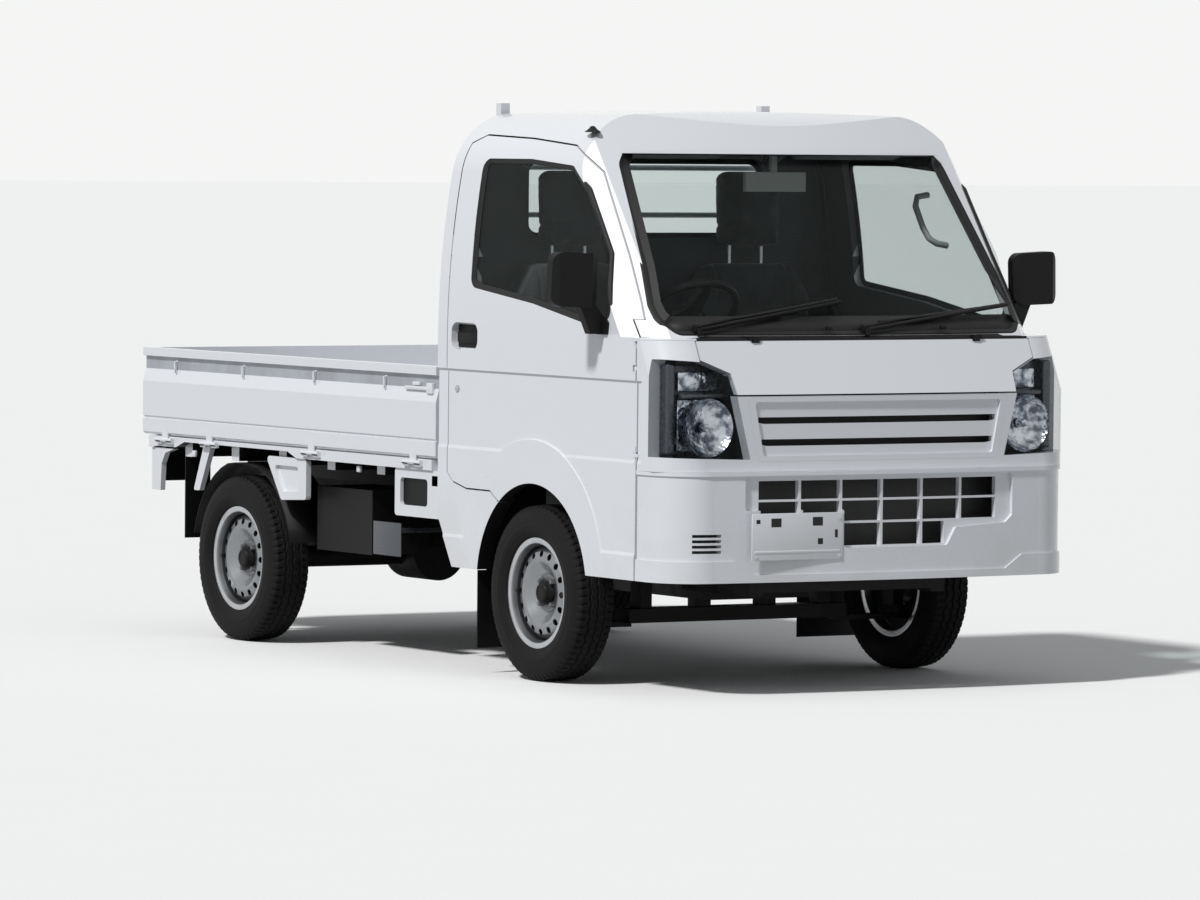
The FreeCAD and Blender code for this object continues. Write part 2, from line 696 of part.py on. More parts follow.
keep(cab_floor, dashboard)

# ---- Seats ---------------------------------------------------------------------------------
# Each pad is what its side view (y, z) and its front view (x from the seat's middle, z) share.
CUSHION = softened([("-968", "652.3"), ("-480", "652.3"), ("-480", "752"), ("-700", "764"),
                    ("-930", "800"), ("-976", "770")], 26)
BACK = softened([("-478", "652.3"), ("-372", "652.3"), ("-344", "900"), ("-344", "1262"),
                 ("-362", "1288"), ("-424", "1288"), ("-444", "1250"), ("-458", "1000")], 24)
REST = softened([("-452", "1318"), ("-352", "1326"), ("-346", "1500"), ("-366", "1566"),
                 ("-412", "1572"), ("-446", "1520"), ("-460", "1400")], 22)
CUSHION_FRONT = softened(rectangle(("-242", "242"), ("640", "812")), 60)
BACK_FRONT = softened([("-236", "640"), ("236", "640"), ("228", "1180"), ("150", "1296"),
                       ("-150", "1296"), ("-228", "1180")], 55)
REST_FRONT = softened([("-100", "1310"), ("100", "1310"), ("108", "1560"), ("70", "1576"),
                       ("-70", "1576"), ("-108", "1560")], 26)
# name, side view, front view, half width
PADS = (("seat_cushions", CUSHION, CUSHION_FRONT, 242), ("seat_backs", BACK, BACK_FRONT, 236),
        ("headrests", REST, REST_FRONT, 110))
for name, profile, front, half in PADS:
    pair = []
    for side, middle in (("right", "-seat_middle"), ("left", "seat_middle")):
        shape = [(f"{middle} + ({corner[0]})", *corner[1:]) for corner in front]
        across_seat = slab(f"{name}_{side}_side", "YZ", profile, f"{middle} - {half}",
                           f"{middle} + {half}")
        pad_body = common(f"{name}_{side}", across_seat,
                          slab(f"{name}_{side}_front", "XZ", shape, "-1000", "-300"))
        if name == "headrests":
            posts = [rod(f"{name}_{side}_post{shift}", "Z", (f"{middle} + {shift}", -392, 1288.3), 60, 6)
                     for shift in (-60, 60)]
            pad_body = fuse(f"{name}_{side}_whole", pad_body, *posts)
        pair.append(pad_body)
    keep(group(name, *pair))

# ---- Steering wheel, inside mirror and levers ----------------------------------------------
ring = doc.addObject("Part::Torus", "wheel_ring")
bind(ring, Radius1="steer_radius", Radius2="13")
SPOKES = softened([("-160", "14"), ("-160", "-8"), ("-60", "-26"), ("-26", "-60"), ("-14", "-160"),
                   ("14", "-160"), ("26", "-60"), ("60", "-26"), ("160", "-8"), ("160", "14"),
                   ("60", "30"), ("-60", "30")], 8)
steering_wheel = fuse("steering_wheel", ring, rod("wheel_hub", "Z", (0, 0, -30), 42, 52),
                      slab("wheel_spokes", "XY", SPOKES, "-16", "-3"))
steering_wheel.Placement = Placement(wheel_spot, lean)
steering_column = fuse("steering_column", rod("column_shaft", "Z", (0, 0, -647.5), 617.2, 20),
                       rod("column_shroud", "Z", (0, 0, -330), 290, 38))
steering_column.Placement = Placement(wheel_spot, lean)
mirror_inside = fuse("mirror_inside",
                     block("mirror_glass", ("-110", "110"), ("-1075", "-1060"), ("1505", "1565")),
                     block("mirror_stem", ("-10", "10"), ("-1066", "-1050"), ("1560", "1700")))
rear_view_mirror = cut("rear_view_mirror", mirror_inside, cab_skin)
gear_lever = fuse("gear_lever", rod("gear_stick", "Z", (0, -1100, 652.3), 250, 7),
                  rod("gear_knob", "Z", (0, -1100, 880), 50, 22))
hand_brake = block("hand_brake", ("-60", "-35"), ("-900", "-640"), ("652.3", "730"))
keep(steering_wheel, steering_column, rear_view_mirror, group("floor_levers", gear_lever, hand_brake))

# ---- Frame ---------------------------------------------------------------------------------
CROSS_MEMBERS = (-300, 200, 760, 1300, 1530)
SPRING_BRACKETS = ((560, 599.7), (1520.3, 1560))
frame_parts = []
for side in (-1, 1):
    rail_span = (f"{side} * frame_half - frame_wide / 2", f"{side} * frame_half + frame_wide / 2")
    frame_parts.append(block(f"frame_rail_{side + 1}", rail_span, ("-1179.7", "frame_back"),
                             ("frame_low", "frame_low + frame_deep")))
    frame_parts.append(block(f"frame_nose_{side + 1}", rail_span, ("frame_front", "-1120"),
                             ("290", "379.7")))
    frame_parts.append(block(f"frame_step_{side + 1}", rail_span, ("-1179.7", "-1120"),
                             ("290", "frame_low + frame_deep")))
    for index, (near, far) in enumerate(SPRING_BRACKETS):
        frame_parts.append(block(f"spring_bracket_{side + 1}_{index}", sorted((side * 350, side * 425)),
                                 (near, far), ("385", "480")))
for index, y in enumerate(CROSS_MEMBERS):
    frame_parts.append(block(f"frame_cross_{index}", ("-frame_half", "frame_half"), (y, y + 60),
                             ("frame_low + 20", "frame_low + 80")))
frame_parts.append(block("frame_cross_front", ("-frame_half", "frame_half"),
                         ("frame_front", "frame_front + 60"), ("300", "370")))
frame_parts.append(block("battery_arm", ("-430", "-350"), ("440", "480"), ("440", "500")))
frame_parts.append(block("gear_box_seat", ("-40", "40"), ("-290", "-250"), ("420", "460")))
chassis_frame = fuse("chassis_frame", *frame_parts)
engine_block = fuse("engine_block",
                    block("engine_core", ("-190", "190"), ("-1000", "-430"), ("245", "600")),
                    block("gear_box", ("-110", "110"), ("-430", "-60"), ("270", "420")))
keep(chassis_frame, engine_block)

# ---- Rear axle -----------------------------------------------------------------------------
propeller_shaft = rod("propeller_shaft", "Y", ("0", "-59.7", "330"), "rear_axle - 110 + 59.4", "32")
TUBE_END = "rear_track_half - 60"
SHAFT_END = "rear_track_half + 20"
axle_parts = [rod("axle_tube", "X", (f"-({TUBE_END})", "rear_axle", "tyre_radius"),
                  f"({TUBE_END}) * 2", "35"),
              rod("axle_shaft", "X", (f"-({SHAFT_END})", "rear_axle", "tyre_radius"),
                  f"({SHAFT_END}) * 2", "shaft_radius"),
              rod("axle_case", "Y", ("0", "rear_axle - 110", "tyre_radius + 15"), "200", "100")]
for side in (-1, 1):
    axle_parts.append(rod(f"drum_{side + 1}", "X",
                          (f"{side} * (rear_track_half - 40) - 14", "rear_axle", "tyre_radius"),
                          "28", "118"))
    axle_parts.append(block(f"spring_seat_{side + 1}", sorted((side * 375, side * 425)),
                            ("rear_axle - 30", "rear_axle + 30"), ("285", "309.9")))
rear_axle = fuse("rear_axle", *axle_parts)
LEAF = [("600", "395", "1287", 1), ("1520", "395"), ("1520", "411", "1271", -1), ("600", "411")]
leaf_springs = group("leaf_springs", slab("leaf_right", "YZ", LEAF, "-425", "-375"),
                     slab("leaf_left", "YZ", LEAF, "375", "425"))
keep(propeller_shaft, rear_axle, leaf_springs)

# ---- Front suspension ----------------------------------------------------------------------
# The struts lean in towards the top, and each wheel steers about its strut.
strut_foot = Vector(worth("strut_foot_half"), worth("front_axle"), worth("strut_foot_high"))
strut_head = Vector(worth("strut_head_half"), worth("front_axle"), worth("strut_head_high"))
strut_way = (strut_head - strut_foot).normalize()


def on_strut(height):
    return tuple(strut_foot + strut_way * ((height - strut_foot.z) / strut_way.z))


arm_left = fuse("arm_left",
                block("arm", ("380", "640"), ("front_axle - 25", "front_axle + 25"), ("160", "176")),
                bar("arm_seat", on_strut(164), on_strut(190), 24))
beam_parts = [arm_left, mirrored("arm_right", arm_left),
              block("front_beam", ("-400", "400"), ("front_axle - 45", "front_axle + 45"),
                    ("172", "215"))]
for side in (-1, 1):
    beam_parts.append(block(f"beam_post_{side + 1}",
                            (f"{side} * frame_half - 20", f"{side} * frame_half + 20"),
                            ("front_axle - 30", "front_axle + 30"), ("200", "frame_low")))
    beam_parts.append(block(f"engine_seat_{side + 1}", sorted((side * 90, side * 150)),
                            (-870, -830), ("210", "245")))
front_suspension = fuse("front_suspension", *beam_parts)
knuckle_left = fuse("knuckle_left",
                    bar("ball_joint", on_strut(190.3), on_strut(215), 20),
                    block("upright", ("588", "626"), ("front_axle - 30", "front_axle + 30"),
                          ("204", "345")),
                    rod("spindle", "X", ("kingpin_half", "front_axle", "tyre_radius"),
                        "front_track_half - kingpin_half + 21.7", "shaft_radius"),
                    bar("strut", on_strut(300), on_strut(618), 20),
                    bar("spring_coil", on_strut(562), on_strut(608), 45))
keep(front_suspension, knuckle_left, mirrored("knuckle_right", knuckle_left))

# ---- Wheels --------------------------------------------------------------------------------
# Half-sections about the axle; u is the place along it, outwards, and v the radius.
RIM = [("57", "170"), ("52", "170"), ("50", "157"), ("35", "151"), ("-35", "151"), ("-50", "157"),
       ("-52", "170"), ("-57", "170"), ("-57", "165"), ("-55", "153"), ("-38", "145"), ("12", "145"),
       ("24", "137"), ("34", "124"), ("38", "106"), ("36", "99"), ("18", "74"), ("9", "58"),
       ("7", "45"), ("-24", "45"), ("-24", "shaft_radius + pin_clear"),
       ("22", "shaft_radius + pin_clear"), ("22", "0"), ("40", "0"), ("40", "24"), ("36", "30"),
       ("13", "31"), ("13", "56"), ("22", "71"), ("40", "96"), ("43", "107"), ("38", "127"),
       ("27", "141"), ("16", "146"), ("38", "146.5"), ("54", "153"), ("57", "165")]
TYRE = [("51.7", "171"), ("49.5", "157.5"), ("35", "151.3"), ("-35", "151.3"), ("-49.5", "157.5"),
        ("-51.7", "171"), ("-62", "173"), ("-tyre_wide / 2", "205"), ("-tyre_wide / 2", "227"),
        ("-65", "258"), ("-52", "269"), ("0", "tyre_radius"), ("52", "269"), ("65", "258"),
        ("tyre_wide / 2", "227"), ("tyre_wide / 2", "205"), ("62", "173")]
RIM_HOLES = 16
RIM_HOLE_CIRCLE = 120
about = Rotation(Vector(0, 0, 1), 180)
for end in ("front", "rear"):
    for side, sign in (("right", "-"), ("left", "")):
        holes = []
        for index in range(RIM_HOLES):
            hole = doc.addObject("Part::Cylinder", f"{end}_{side}_hole_{index}")
            bind(hole, Radius="rim_hole_radius", Height="80")
            angle = 2 * math.pi * index / RIM_HOLES
            spot = Vector(0, math.sin(angle), math.cos(angle)) * RIM_HOLE_CIRCLE
            hole.Placement = Placement(spot, TURNS["X"])
            holes.append(hole)
        rim = cut(f"{end}_{side}_wheel", turned(f"{end}_rim_{side}", RIM), *holes)
        rim.Label = f"rim_{end}_{side}"
        for piece in (rim, turned(f"tyre_{end}_{side}", TYRE)):
            place(piece, f"{sign}{end}_track_half", f"{end}_axle", "tyre_radius",
                  turn=about if sign else None)
            keep(piece)

# ---- Boxes under the bed -------------------------------------------------------------------
battery_box = block("battery_box", ("-640", "-430"), ("286", "642"), ("322", "529"))
fuel_tank = block("fuel_tank", ("frame_half + frame_wide / 2", "640"), ("100", "560"), ("300", "500"))
exhaust = fuse("exhaust", rod("muffler", "X", (-240, 1400, 345), 480, 60),
               rod("tail_pipe", "Y", (200, 1400, 345), 240, 18),
               block("exhaust_hanger", ("235", "345"), ("1392", "1408"), ("330", "frame_low")))
keep(battery_box, fuel_tank, exhaust)

# ---- Bed -----------------------------------------------------------------------------------
DECK_HALF = "gate_outer - gate_thick - 2"
FRAME_TOP = "frame_low + frame_deep"
SILLS = (-200, 120, 440, 760, 1080, 1400, 1588)
deck_parts = [block("deck", (f"-({DECK_HALF})", DECK_HALF), ("deck_front", "deck_back"),
                    ("deck_top - deck_thick", "deck_top")),
              block("tail_rail", ("-rail_half", "rail_half"), ("deck_back - rail_wide", "deck_back"),
                    ("rail_low", "deck_top - 2"))]
# The side rail rises over the rear wheel.
RAIL = softened([("deck_front", "652"), ("deck_front", "618"), ("640", "618"), ("700", "638"),
                 ("1400", "638"), ("1460", "618"), ("1590", "618"), ("deck_back", "rail_low"),
                 ("deck_back", "652")], 20)
rail_right = slab("rail_right", "YZ", RAIL, "-rail_half", "-rail_half + rail_wide")
deck_parts += [rail_right, mirrored("rail_left", rail_right)]
for index, y in enumerate(SILLS):
    deck_parts.append(block(f"sill_{index}", ("-rail_half + rail_wide - 2", "rail_half - rail_wide + 2"),
                            (y, y + 50), (f"{FRAME_TOP} + 58", "deck_top - 5")))
    for side in (-1, 1):
        foot_wide = (f"{side} * frame_half - 20", f"{side} * frame_half + 20")
        deck_parts.append(block(f"sill_foot_{index}_{side + 1}", foot_wide, (y, y + 50),
                                (FRAME_TOP, "deck_top - 40")))

# A gate hangs on hinges of three knuckles about one pin: the outer two and the pin belong to the bed,
# the middle one to the gate. A hinge's number is its middle along the rail.
HINGES = (1525, 1218, 533, -118)
TAIL_HINGES = (-560, -190, 190, 560)
OUTER_KNUCKLES = ("-hinge_half", "hinge_half - knuckle_long")
hinges = []
for index, y in enumerate(HINGES):
    for side in (-1, 1):
        pivot = f"{side} * gate_pivot_half"
        leaf_middle = f"{side} * (rail_half + 4)"
        for step, shift in enumerate(OUTER_KNUCKLES):
            start = f"{y} + {shift}"
            tag = f"{index}_{side + 1}_{step}"
            hinges.append(rod(f"rail_knuckle_{tag}", "Y", (pivot, start, "gate_pivot_high"),
                              "knuckle_long", "knuckle_radius"))
            hinges.append(block(f"rail_leaf_{tag}", (f"{leaf_middle} - 5", f"{leaf_middle} + 5"),
                                (start, f"{start} + knuckle_long"),
                                ("gate_pivot_high - 12", "gate_pivot_high - 1")))
        hinges.append(rod(f"rail_pin_{index}_{side + 1}", "Y",
                          (pivot, f"{y} - hinge_half", "gate_pivot_high"),
                          "hinge_half * 2", "pin_radius"))
for index, x in enumerate(TAIL_HINGES):
    for step, shift in enumerate(OUTER_KNUCKLES):
        start = f"{x} + {shift}"
        hinges.append(rod(f"tail_knuckle_{index}_{step}", "X", (start, "tail_pivot", "gate_pivot_high"),
                          "knuckle_long", "knuckle_radius"))
        hinges.append(block(f"tail_leaf_{index}_{step}", (start, f"{start} + knuckle_long"),
                            ("deck_back - 5", "tail_pivot + 1"),
                            ("gate_pivot_high - 6.5", "gate_pivot_high + 1")))
    hinges.append(rod(f"tail_pin_{index}", "X", (f"{x} - hinge_half", "tail_pivot", "gate_pivot_high"),
                      "hinge_half * 2", "pin_radius"))
deck_grooves = [block(f"deck_groove_{index}", (x - 14, x + 14), ("deck_front + 40", "deck_back - 60"),
                      ("deck_top - 3", "deck_top + 5"))
                for index, x in enumerate(range(-616, 617, 88))]
bed_floor = cut("bed_floor", fuse("bed_whole", *deck_parts, *hinges), *deck_grooves)
keep(bed_floor)


# ---- Gates ---------------------------------------------------------------------------------
def gate_profile(face):
    """A gate's pressed section, with a groove low down and a sunk band for the rope hooks."""
    return [(f"{face} - gate_thick", "gate_low"), (f"{face} - 8", "gate_low"), (face, "664"),
            (face, "708"), (f"{face} - 5", "711"), (f"{face} - 5", "715"), (face, "718"),
            (face, "833"), (f"{face} - 12", "875"), (f"{face} - 12", "915"), (face, "918"),
            (face, "gate_top"), (f"{face} - gate_thick", "gate_top")]


GATE_LEAF_HIGH = ("gate_pivot_high", "gate_low + 20")
gate_parts = [slab("gate_form", "XZ", gate_profile("gate_outer"), "gate_front", "gate_back")]
for index, y in enumerate(HINGES):
    start = f"{y} - gate_knuckle_half"
    gate_parts.append(rod(f"gate_knuckle_{index}", "Y", ("gate_pivot_half", start, "gate_pivot_high"),
                          "gate_knuckle_half * 2", "knuckle_radius"))
    gate_parts.append(block(f"gate_leaf_{index}", ("gate_outer - 3", "gate_outer + 1"),
                            (start, f"{y} + gate_knuckle_half"), GATE_LEAF_HIGH))
gate_bore = rod("gate_bore", "Y", ("gate_pivot_half", "gate_front - 5", "gate_pivot_high"),
                "gate_back - gate_front + 10", "pin_radius + pin_clear")
side_gate_left = cut("side_gate_left", fuse("gate_whole", *gate_parts), gate_bore)
side_gate_right = mirrored("side_gate_right", side_gate_left)

tail_parts = [slab("tail_panel", "YZ", gate_profile("tail_outer"), "-gate_outer + gate_thick + 5",
                   "gate_outer - gate_thick - 5")]
for index, x in enumerate(TAIL_HINGES):
    start = f"{x} - gate_knuckle_half"
    tail_parts.append(rod(f"tailgate_knuckle_{index}", "X", (start, "tail_pivot", "gate_pivot_high"),
                          "gate_knuckle_half * 2", "knuckle_radius"))
    tail_parts.append(block(f"tailgate_leaf_{index}", (start, f"{x} + gate_knuckle_half"),
                            ("tail_outer - 3", "tail_outer + 1"), GATE_LEAF_HIGH))
tail_bore = rod("tail_bore", "X", ("-body_half", "tail_pivot", "gate_pivot_high"), "body_half * 2",
                "pin_radius + pin_clear")
tailgate = cut("tailgate", fuse("tail_whole", *tail_parts), tail_bore)
keep(side_gate_left, side_gate_right, tailgate)

# ---- Headboard and cab guard ---------------------------------------------------------------
SHEET = softened([("-686", "rail_low"), ("686", "rail_low"), ("686", "gate_top"), ("560", "gate_top"),
                  ("535", "968"), ("-535", "968"), ("-560", "gate_top"),
                  ("-686", "gate_top")], 14)
GUARD_BARS = (1120, 1270, 1420, 1570, 1690)
GUARD_DEEP = ("head_front", "head_front + 30")
guard = [slab("head_sheet", "XZ", SHEET, "head_front", "head_front + 16"),
         block("head_top", ("-535", "535"), GUARD_DEEP, ("944", "968")),
         block("head_foot", ("-686", "686"), ("head_front", "deck_front - 0.3"), ("rail_low", "670"))]
for index, x in enumerate(range(-600, 601, 200)):
    guard.append(block(f"head_rib_{index}", (x - 22, x + 22), ("-247", "-238"), ("690", "930")))
for side in (-1, 1):
    post_wide = (f"{side} * guard_half - 16", f"{side} * guard_half + 16")
    guard.append(block(f"guard_post_{side + 1}", post_wide, GUARD_DEEP, ("900", "guard_top")))
for index, z in enumerate(GUARD_BARS):
    guard.append(rod(f"guard_bar_{index}", "X", ("-guard_half", "head_front + 15", z),
                     "guard_half * 2", 9))
headboard = fuse("headboard", *guard)
keep(headboard)

# Sheet brackets hang under the rails: a post at the tail, two stakes about the rear wheel, the front
# one with a hole, and a panel with a window behind the cab.
POST = [("1480", "611.7"), ("1545", "596"), ("1570", "560"), ("1577", "470"), ("1637", "470"),
        ("1637", "611.7")]
STAKE_REAR = softened([("1225", "637.7"), ("1275", "637.7"), ("1345", "482"), ("1305", "482")], 6)
STAKE_FRONT = softened([("586", "486"), ("751", "478"), ("854", "617.7"), ("586", "617.7")], 12)
STAKE_HOLE = softened([("640", "510"), ("742", "505"), ("800", "590"), ("640", "590")], 10)
PANEL = softened(rectangle(("-280", "14"), ("467", "617.7")), 12)
PANEL_WINDOW = softened(rectangle(("-190", "-20"), ("502", "588")), 14)
BRACKETS = (("post", POST, None), ("stake_rear", STAKE_REAR, None),
            ("stake_front", STAKE_FRONT, STAKE_HOLE), ("panel", PANEL, PANEL_WINDOW))
brackets = []
for name, corners, hole in BRACKETS:
    plate = slab(f"bracket_{name}", "YZ", corners, "bracket_face", "bracket_face + bracket_thick")
    if hole:
        opening = slab(f"bracket_{name}_hole", "YZ", hole, "bracket_face - 5",
                       "bracket_face + bracket_web")
        plate = cut(f"bracket_{name}_open", plate, opening)
    brackets.extend([plate, mirrored(f"bracket_{name}_left", plate)])
keep(group("bed_brackets", *brackets))

# Each front flap is notched above round the arch's edge.
flaps = []
for side, sign in (("right", -1), ("left", 1)):
    shape = [(sign * 470, 80), (sign * 715, 80), (sign * 715, 322), (sign * 683, 322),
             (sign * 683, "639.7"), (sign * 470, "639.7")]
    flaps.append(slab(f"front_flap_{side}", "XZ", shape[::sign], "-505", "-501"))
    near, far = sorted((sign * 600, sign * 694))
    flaps.append(block(f"rear_flap_{side}", (near, far), ("1440", "1444"), ("317", "587.7")))
keep(group("mud_flaps", *flaps))
lamps = []
for side, sign in (("right", -1), ("left", 1)):
    near, far = sorted((sign * 560, sign * 694.7))
    lamps.append(block(f"rear_lamp_{side}", (near, far), ("1600", "1660"), ("500", "587.7")))
keep(group("rear_lamps", *lamps))

doc.recompute()
broken = [item.Name for item in doc.Objects if "Invalid" in item.State or "Error" in item.State]
for item in nodes:
    shape = item.Shape
    if shape.isNull() or not shape.Solids or not shape.isValid():
        broken.append(item.Label)
if broken:
    raise RuntimeError("failed: " + ", ".join(broken))
os.makedirs("parts", exist_ok=True)
for item in nodes:
    item.Shape.exportStep(f"parts/{item.Label}.step")
print(len(nodes), "nodes")
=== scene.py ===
import math
import bmesh
import bpy
from mathutils import Matrix, Quaternion, Vector


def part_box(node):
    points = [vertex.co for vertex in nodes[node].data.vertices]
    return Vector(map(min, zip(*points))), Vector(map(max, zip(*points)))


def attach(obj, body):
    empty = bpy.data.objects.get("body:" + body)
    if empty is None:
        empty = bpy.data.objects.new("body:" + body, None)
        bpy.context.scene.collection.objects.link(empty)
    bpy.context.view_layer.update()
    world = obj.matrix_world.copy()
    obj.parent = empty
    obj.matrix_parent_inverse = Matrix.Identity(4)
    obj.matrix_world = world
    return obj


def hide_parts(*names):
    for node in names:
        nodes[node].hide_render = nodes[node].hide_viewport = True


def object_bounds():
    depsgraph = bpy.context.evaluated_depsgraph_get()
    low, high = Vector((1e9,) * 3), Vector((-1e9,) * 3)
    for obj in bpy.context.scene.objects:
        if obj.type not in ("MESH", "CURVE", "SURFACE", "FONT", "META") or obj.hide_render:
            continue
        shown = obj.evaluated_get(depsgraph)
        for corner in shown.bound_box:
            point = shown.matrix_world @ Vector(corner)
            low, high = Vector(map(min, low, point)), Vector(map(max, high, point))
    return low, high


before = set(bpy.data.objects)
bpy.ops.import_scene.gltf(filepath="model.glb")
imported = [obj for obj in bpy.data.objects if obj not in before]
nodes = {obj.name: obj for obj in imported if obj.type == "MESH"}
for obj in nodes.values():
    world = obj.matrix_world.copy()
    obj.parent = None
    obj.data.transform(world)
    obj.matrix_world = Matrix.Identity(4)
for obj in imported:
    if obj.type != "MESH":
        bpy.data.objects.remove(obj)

cad_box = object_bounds()

# ---- Studio ----
# A small truck stands on a pale floor that runs into a pale backdrop. One sun lamp lights it from
# its right side, high up, and an even sky fills the shade.
CAMERA_SPOT = (-12.271, -19.946, 1.720)
CAMERA_AIM = Vector((0.0368, 0, 0.6613))
CAMERA_LENS = 219.1
CAMERA_ROLL = math.radians(0.58)
camera = bpy.data.cameras.new("camera")
camera.lens = CAMERA_LENS
camera.sensor_width = 36
camera.clip_end = 400
eye = bpy.data.objects.new("camera", camera)
eye.location = CAMERA_SPOT
eye.rotation_mode = "QUATERNION"
towards = (CAMERA_AIM - eye.location).to_track_quat("-Z", "Y")
eye.rotation_quaternion = towards @ Quaternion((0, 0, 1), CAMERA_ROLL)
bpy.context.scene.collection.objects.link(eye)
bpy.context.scene.camera = eye
bpy.context.scene.view_settings.view_transform = "Standard"

SUN_FROM = Vector((-0.64, -0.22, 0.735))
SUN_STRENGTH = 2.65
SUN_SPREAD = math.radians(5)
SKY_COLOUR = (0.93, 0.96, 1, 1)
SKY_STRENGTH = 0.28
BACKDROP = (0.91, 0.918, 0.908, 1)
FLOOR_SEEN = (0.975, 0.978, 0.966, 1)
FLOOR_SHADE = (0.40, 0.405, 0.41, 1)
sun = bpy.data.objects.new("key_lamp", bpy.data.lights.new("key_lamp", "SUN"))
sun.data.energy = SUN_STRENGTH
sun.data.angle = SUN_SPREAD
sun.rotation_euler = SUN_FROM.to_track_quat("Z", "Y").to_euler()
bpy.context.scene.collection.objects.link(sun)


class Wire:
    """A socket among a material's nodes. Sums on wires add Math nodes, and node() adds any other."""

    def __init__(self, tree, socket=None):
        self.tree = tree
        self.socket = socket

    def node(self, kind, settings=(), sockets=(), out=0):
        made = self.tree.nodes.new(kind)
        for name, value in dict(settings).items():
            setattr(made, name, value)
        for name, value in dict(sockets).items():
            if isinstance(value, Wire):
                self.tree.links.new(value.socket, made.inputs[name])
            else:
                made.inputs[name].default_value = value
        return Wire(self.tree, made.outputs[out])

    def math(self, operation, first, second=0):
        return self.node("ShaderNodeMath", {"operation": operation}, {0: first, 1: second})

    def __add__(self, other):
        return self.math("ADD", self, other)

    def __sub__(self, other):
        return self.math("SUBTRACT", self, other)

    def __rsub__(self, other):
        return self.math("SUBTRACT", other, self)

    def __mul__(self, other):
        return self.math("MULTIPLY", self, other)

    __radd__ = __add__

    def rise(self, low, high):
        """0 below low, 1 above high, and smooth between."""
        return self.node("ShaderNodeMapRange", {"interpolation_type": "SMOOTHSTEP"},
                         {"Value": self, "From Min": low, "From Max": high})

    def blend(self, first, second):
        """The first colour where this is 0, and the second where it is 1."""
        return self.node("ShaderNodeMix", {"data_type": "RGBA"}, {0: self, 6: first, 7: second}, out=2)


def seen_rays(wire):
    """1 where a surface is looked at, straight or in metal and glass, and 0 where it only lights others."""
    seen = wire.node("ShaderNodeLightPath", out=0)
    glossy = wire.node("ShaderNodeLightPath", out=3)
    through = wire.node("ShaderNodeLightPath", out=6)
    return wire.math("MAXIMUM", wire.math("MAXIMUM", seen, glossy), through)


world = bpy.data.worlds.new("sky")
bpy.context.scene.world = world
world.use_nodes = True
sky = Wire(world.node_tree)
seen = seen_rays(sky)
shade = sky.node("ShaderNodeBackground", (), {"Color": SKY_COLOUR, "Strength": SKY_STRENGTH})
pale = sky.node("ShaderNodeBackground", (), {"Color": BACKDROP, "Strength": 1})
both = sky.node("ShaderNodeMixShader", (), {0: seen, 1: shade, 2: pale})
world.node_tree.links.new(both.socket, world.node_tree.nodes["World Output"].inputs["Surface"])


def material(name, constants, varying=None):
    """A finish: constants go on the shader's own sockets, and varying links what changes over the piece."""
    made = bpy.data.materials.new(name)
    made.use_nodes = True
    shader = made.node_tree.nodes["Principled BSDF"]
    for socket, value in constants.items():
        shader.inputs[socket].default_value = value
    wire = Wire(made.node_tree)
    if varying:
        for socket, value in varying(wire).items():
            made.node_tree.links.new(value.socket, shader.inputs[socket])
    return made


def place(wire):
    """The spot on the piece, in metres in the truck's frame."""
    return wire.node("ShaderNodeTexCoord", out=3)


def noise(wire, scale, detail=2.0):
    return wire.node("ShaderNodeTexNoise", (), {"Vector": place(wire), "Scale": scale, "Detail": detail})


def bump(wire, height, strength, distance):
    return wire.node("ShaderNodeBump", (), {"Height": height, "Strength": strength, "Distance": distance})


def mesh_piece(name, points, faces, finish, body=None, smooth=True):
    """A new piece from points and faces, in metres, that rides on a body."""
    mesh = bpy.data.meshes.new(name)
    mesh.from_pydata([tuple(point) for point in points], [], faces)
    mesh.materials.append(finish)
    mesh.update()
    if smooth:
        mesh.shade_smooth()
    made = bpy.data.objects.new(name, mesh)
    bpy.context.scene.collection.objects.link(made)
    if body:
        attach(made, body)
    return made


def floor_look(wire):
    grain = noise(wire, 3).rise(0.2, 0.8) * 0.01
    return {"Base Color": (seen_rays(wire) - grain).blend(FLOOR_SHADE, FLOOR_SEEN)}


floor_finish = material("floor_card", {"Roughness": 0.9, "Specular IOR Level": 0.1}, floor_look)
FLOOR_REACH = 150
corners = [(x * FLOOR_REACH, y * FLOOR_REACH, 0) for x, y in ((-1, -1), (1, -1), (1, 1), (-1, 1))]
floor = mesh_piece("floor", corners, [(0, 1, 2, 3)], floor_finish)

# ---- White body panels ----
# The cab's shell, doors, nose, bumper, bed and gates are pressed steel or moulded plastic, sprayed
# in one gloss white coat, drawn darker and duller in patches low down. A small fixed plate closes the
# foot of each screen pillar, where the door's corner is cut away.
def white_look(wire):
    height = wire.node("ShaderNodeSeparateXYZ", (), {0: place(wire)}, out=2)
    # Darker and rougher in patches towards the bottom.
    mottle = (1 - height.rise(0.3, 0.75)) * noise(wire, 6, 4).rise(0.35, 0.7)
    tone = (mottle * 0.35).blend((0.735, 0.752, 0.785, 1), (0.60, 0.60, 0.59, 1))
    peel = noise(wire, 260, 1)
    return {"Base Color": tone, "Roughness": 0.24 + mottle * 0.25,
            "Normal": bump(wire, peel, 0.05, 0.0004)}


white_coat = material("white_coat", {"Coat Weight": 0.7, "Coat Roughness": 0.05,
                                     "Specular IOR Level": 0.45}, white_look)


def finish_nodes(finish, *names):
    for name in names:
        mesh = nodes[name].data
        mesh.materials.clear()
        mesh.materials.append(finish)


def face_finish(name, finish, wanted):
    """Gives another finish to the faces of a node that a test picks by their middle and facing."""
    mesh = nodes[name].data
    mesh.materials.append(finish)
    for face in mesh.polygons:
        if wanted(face.center, face.normal):
            face.material_index = len(mesh.materials) - 1


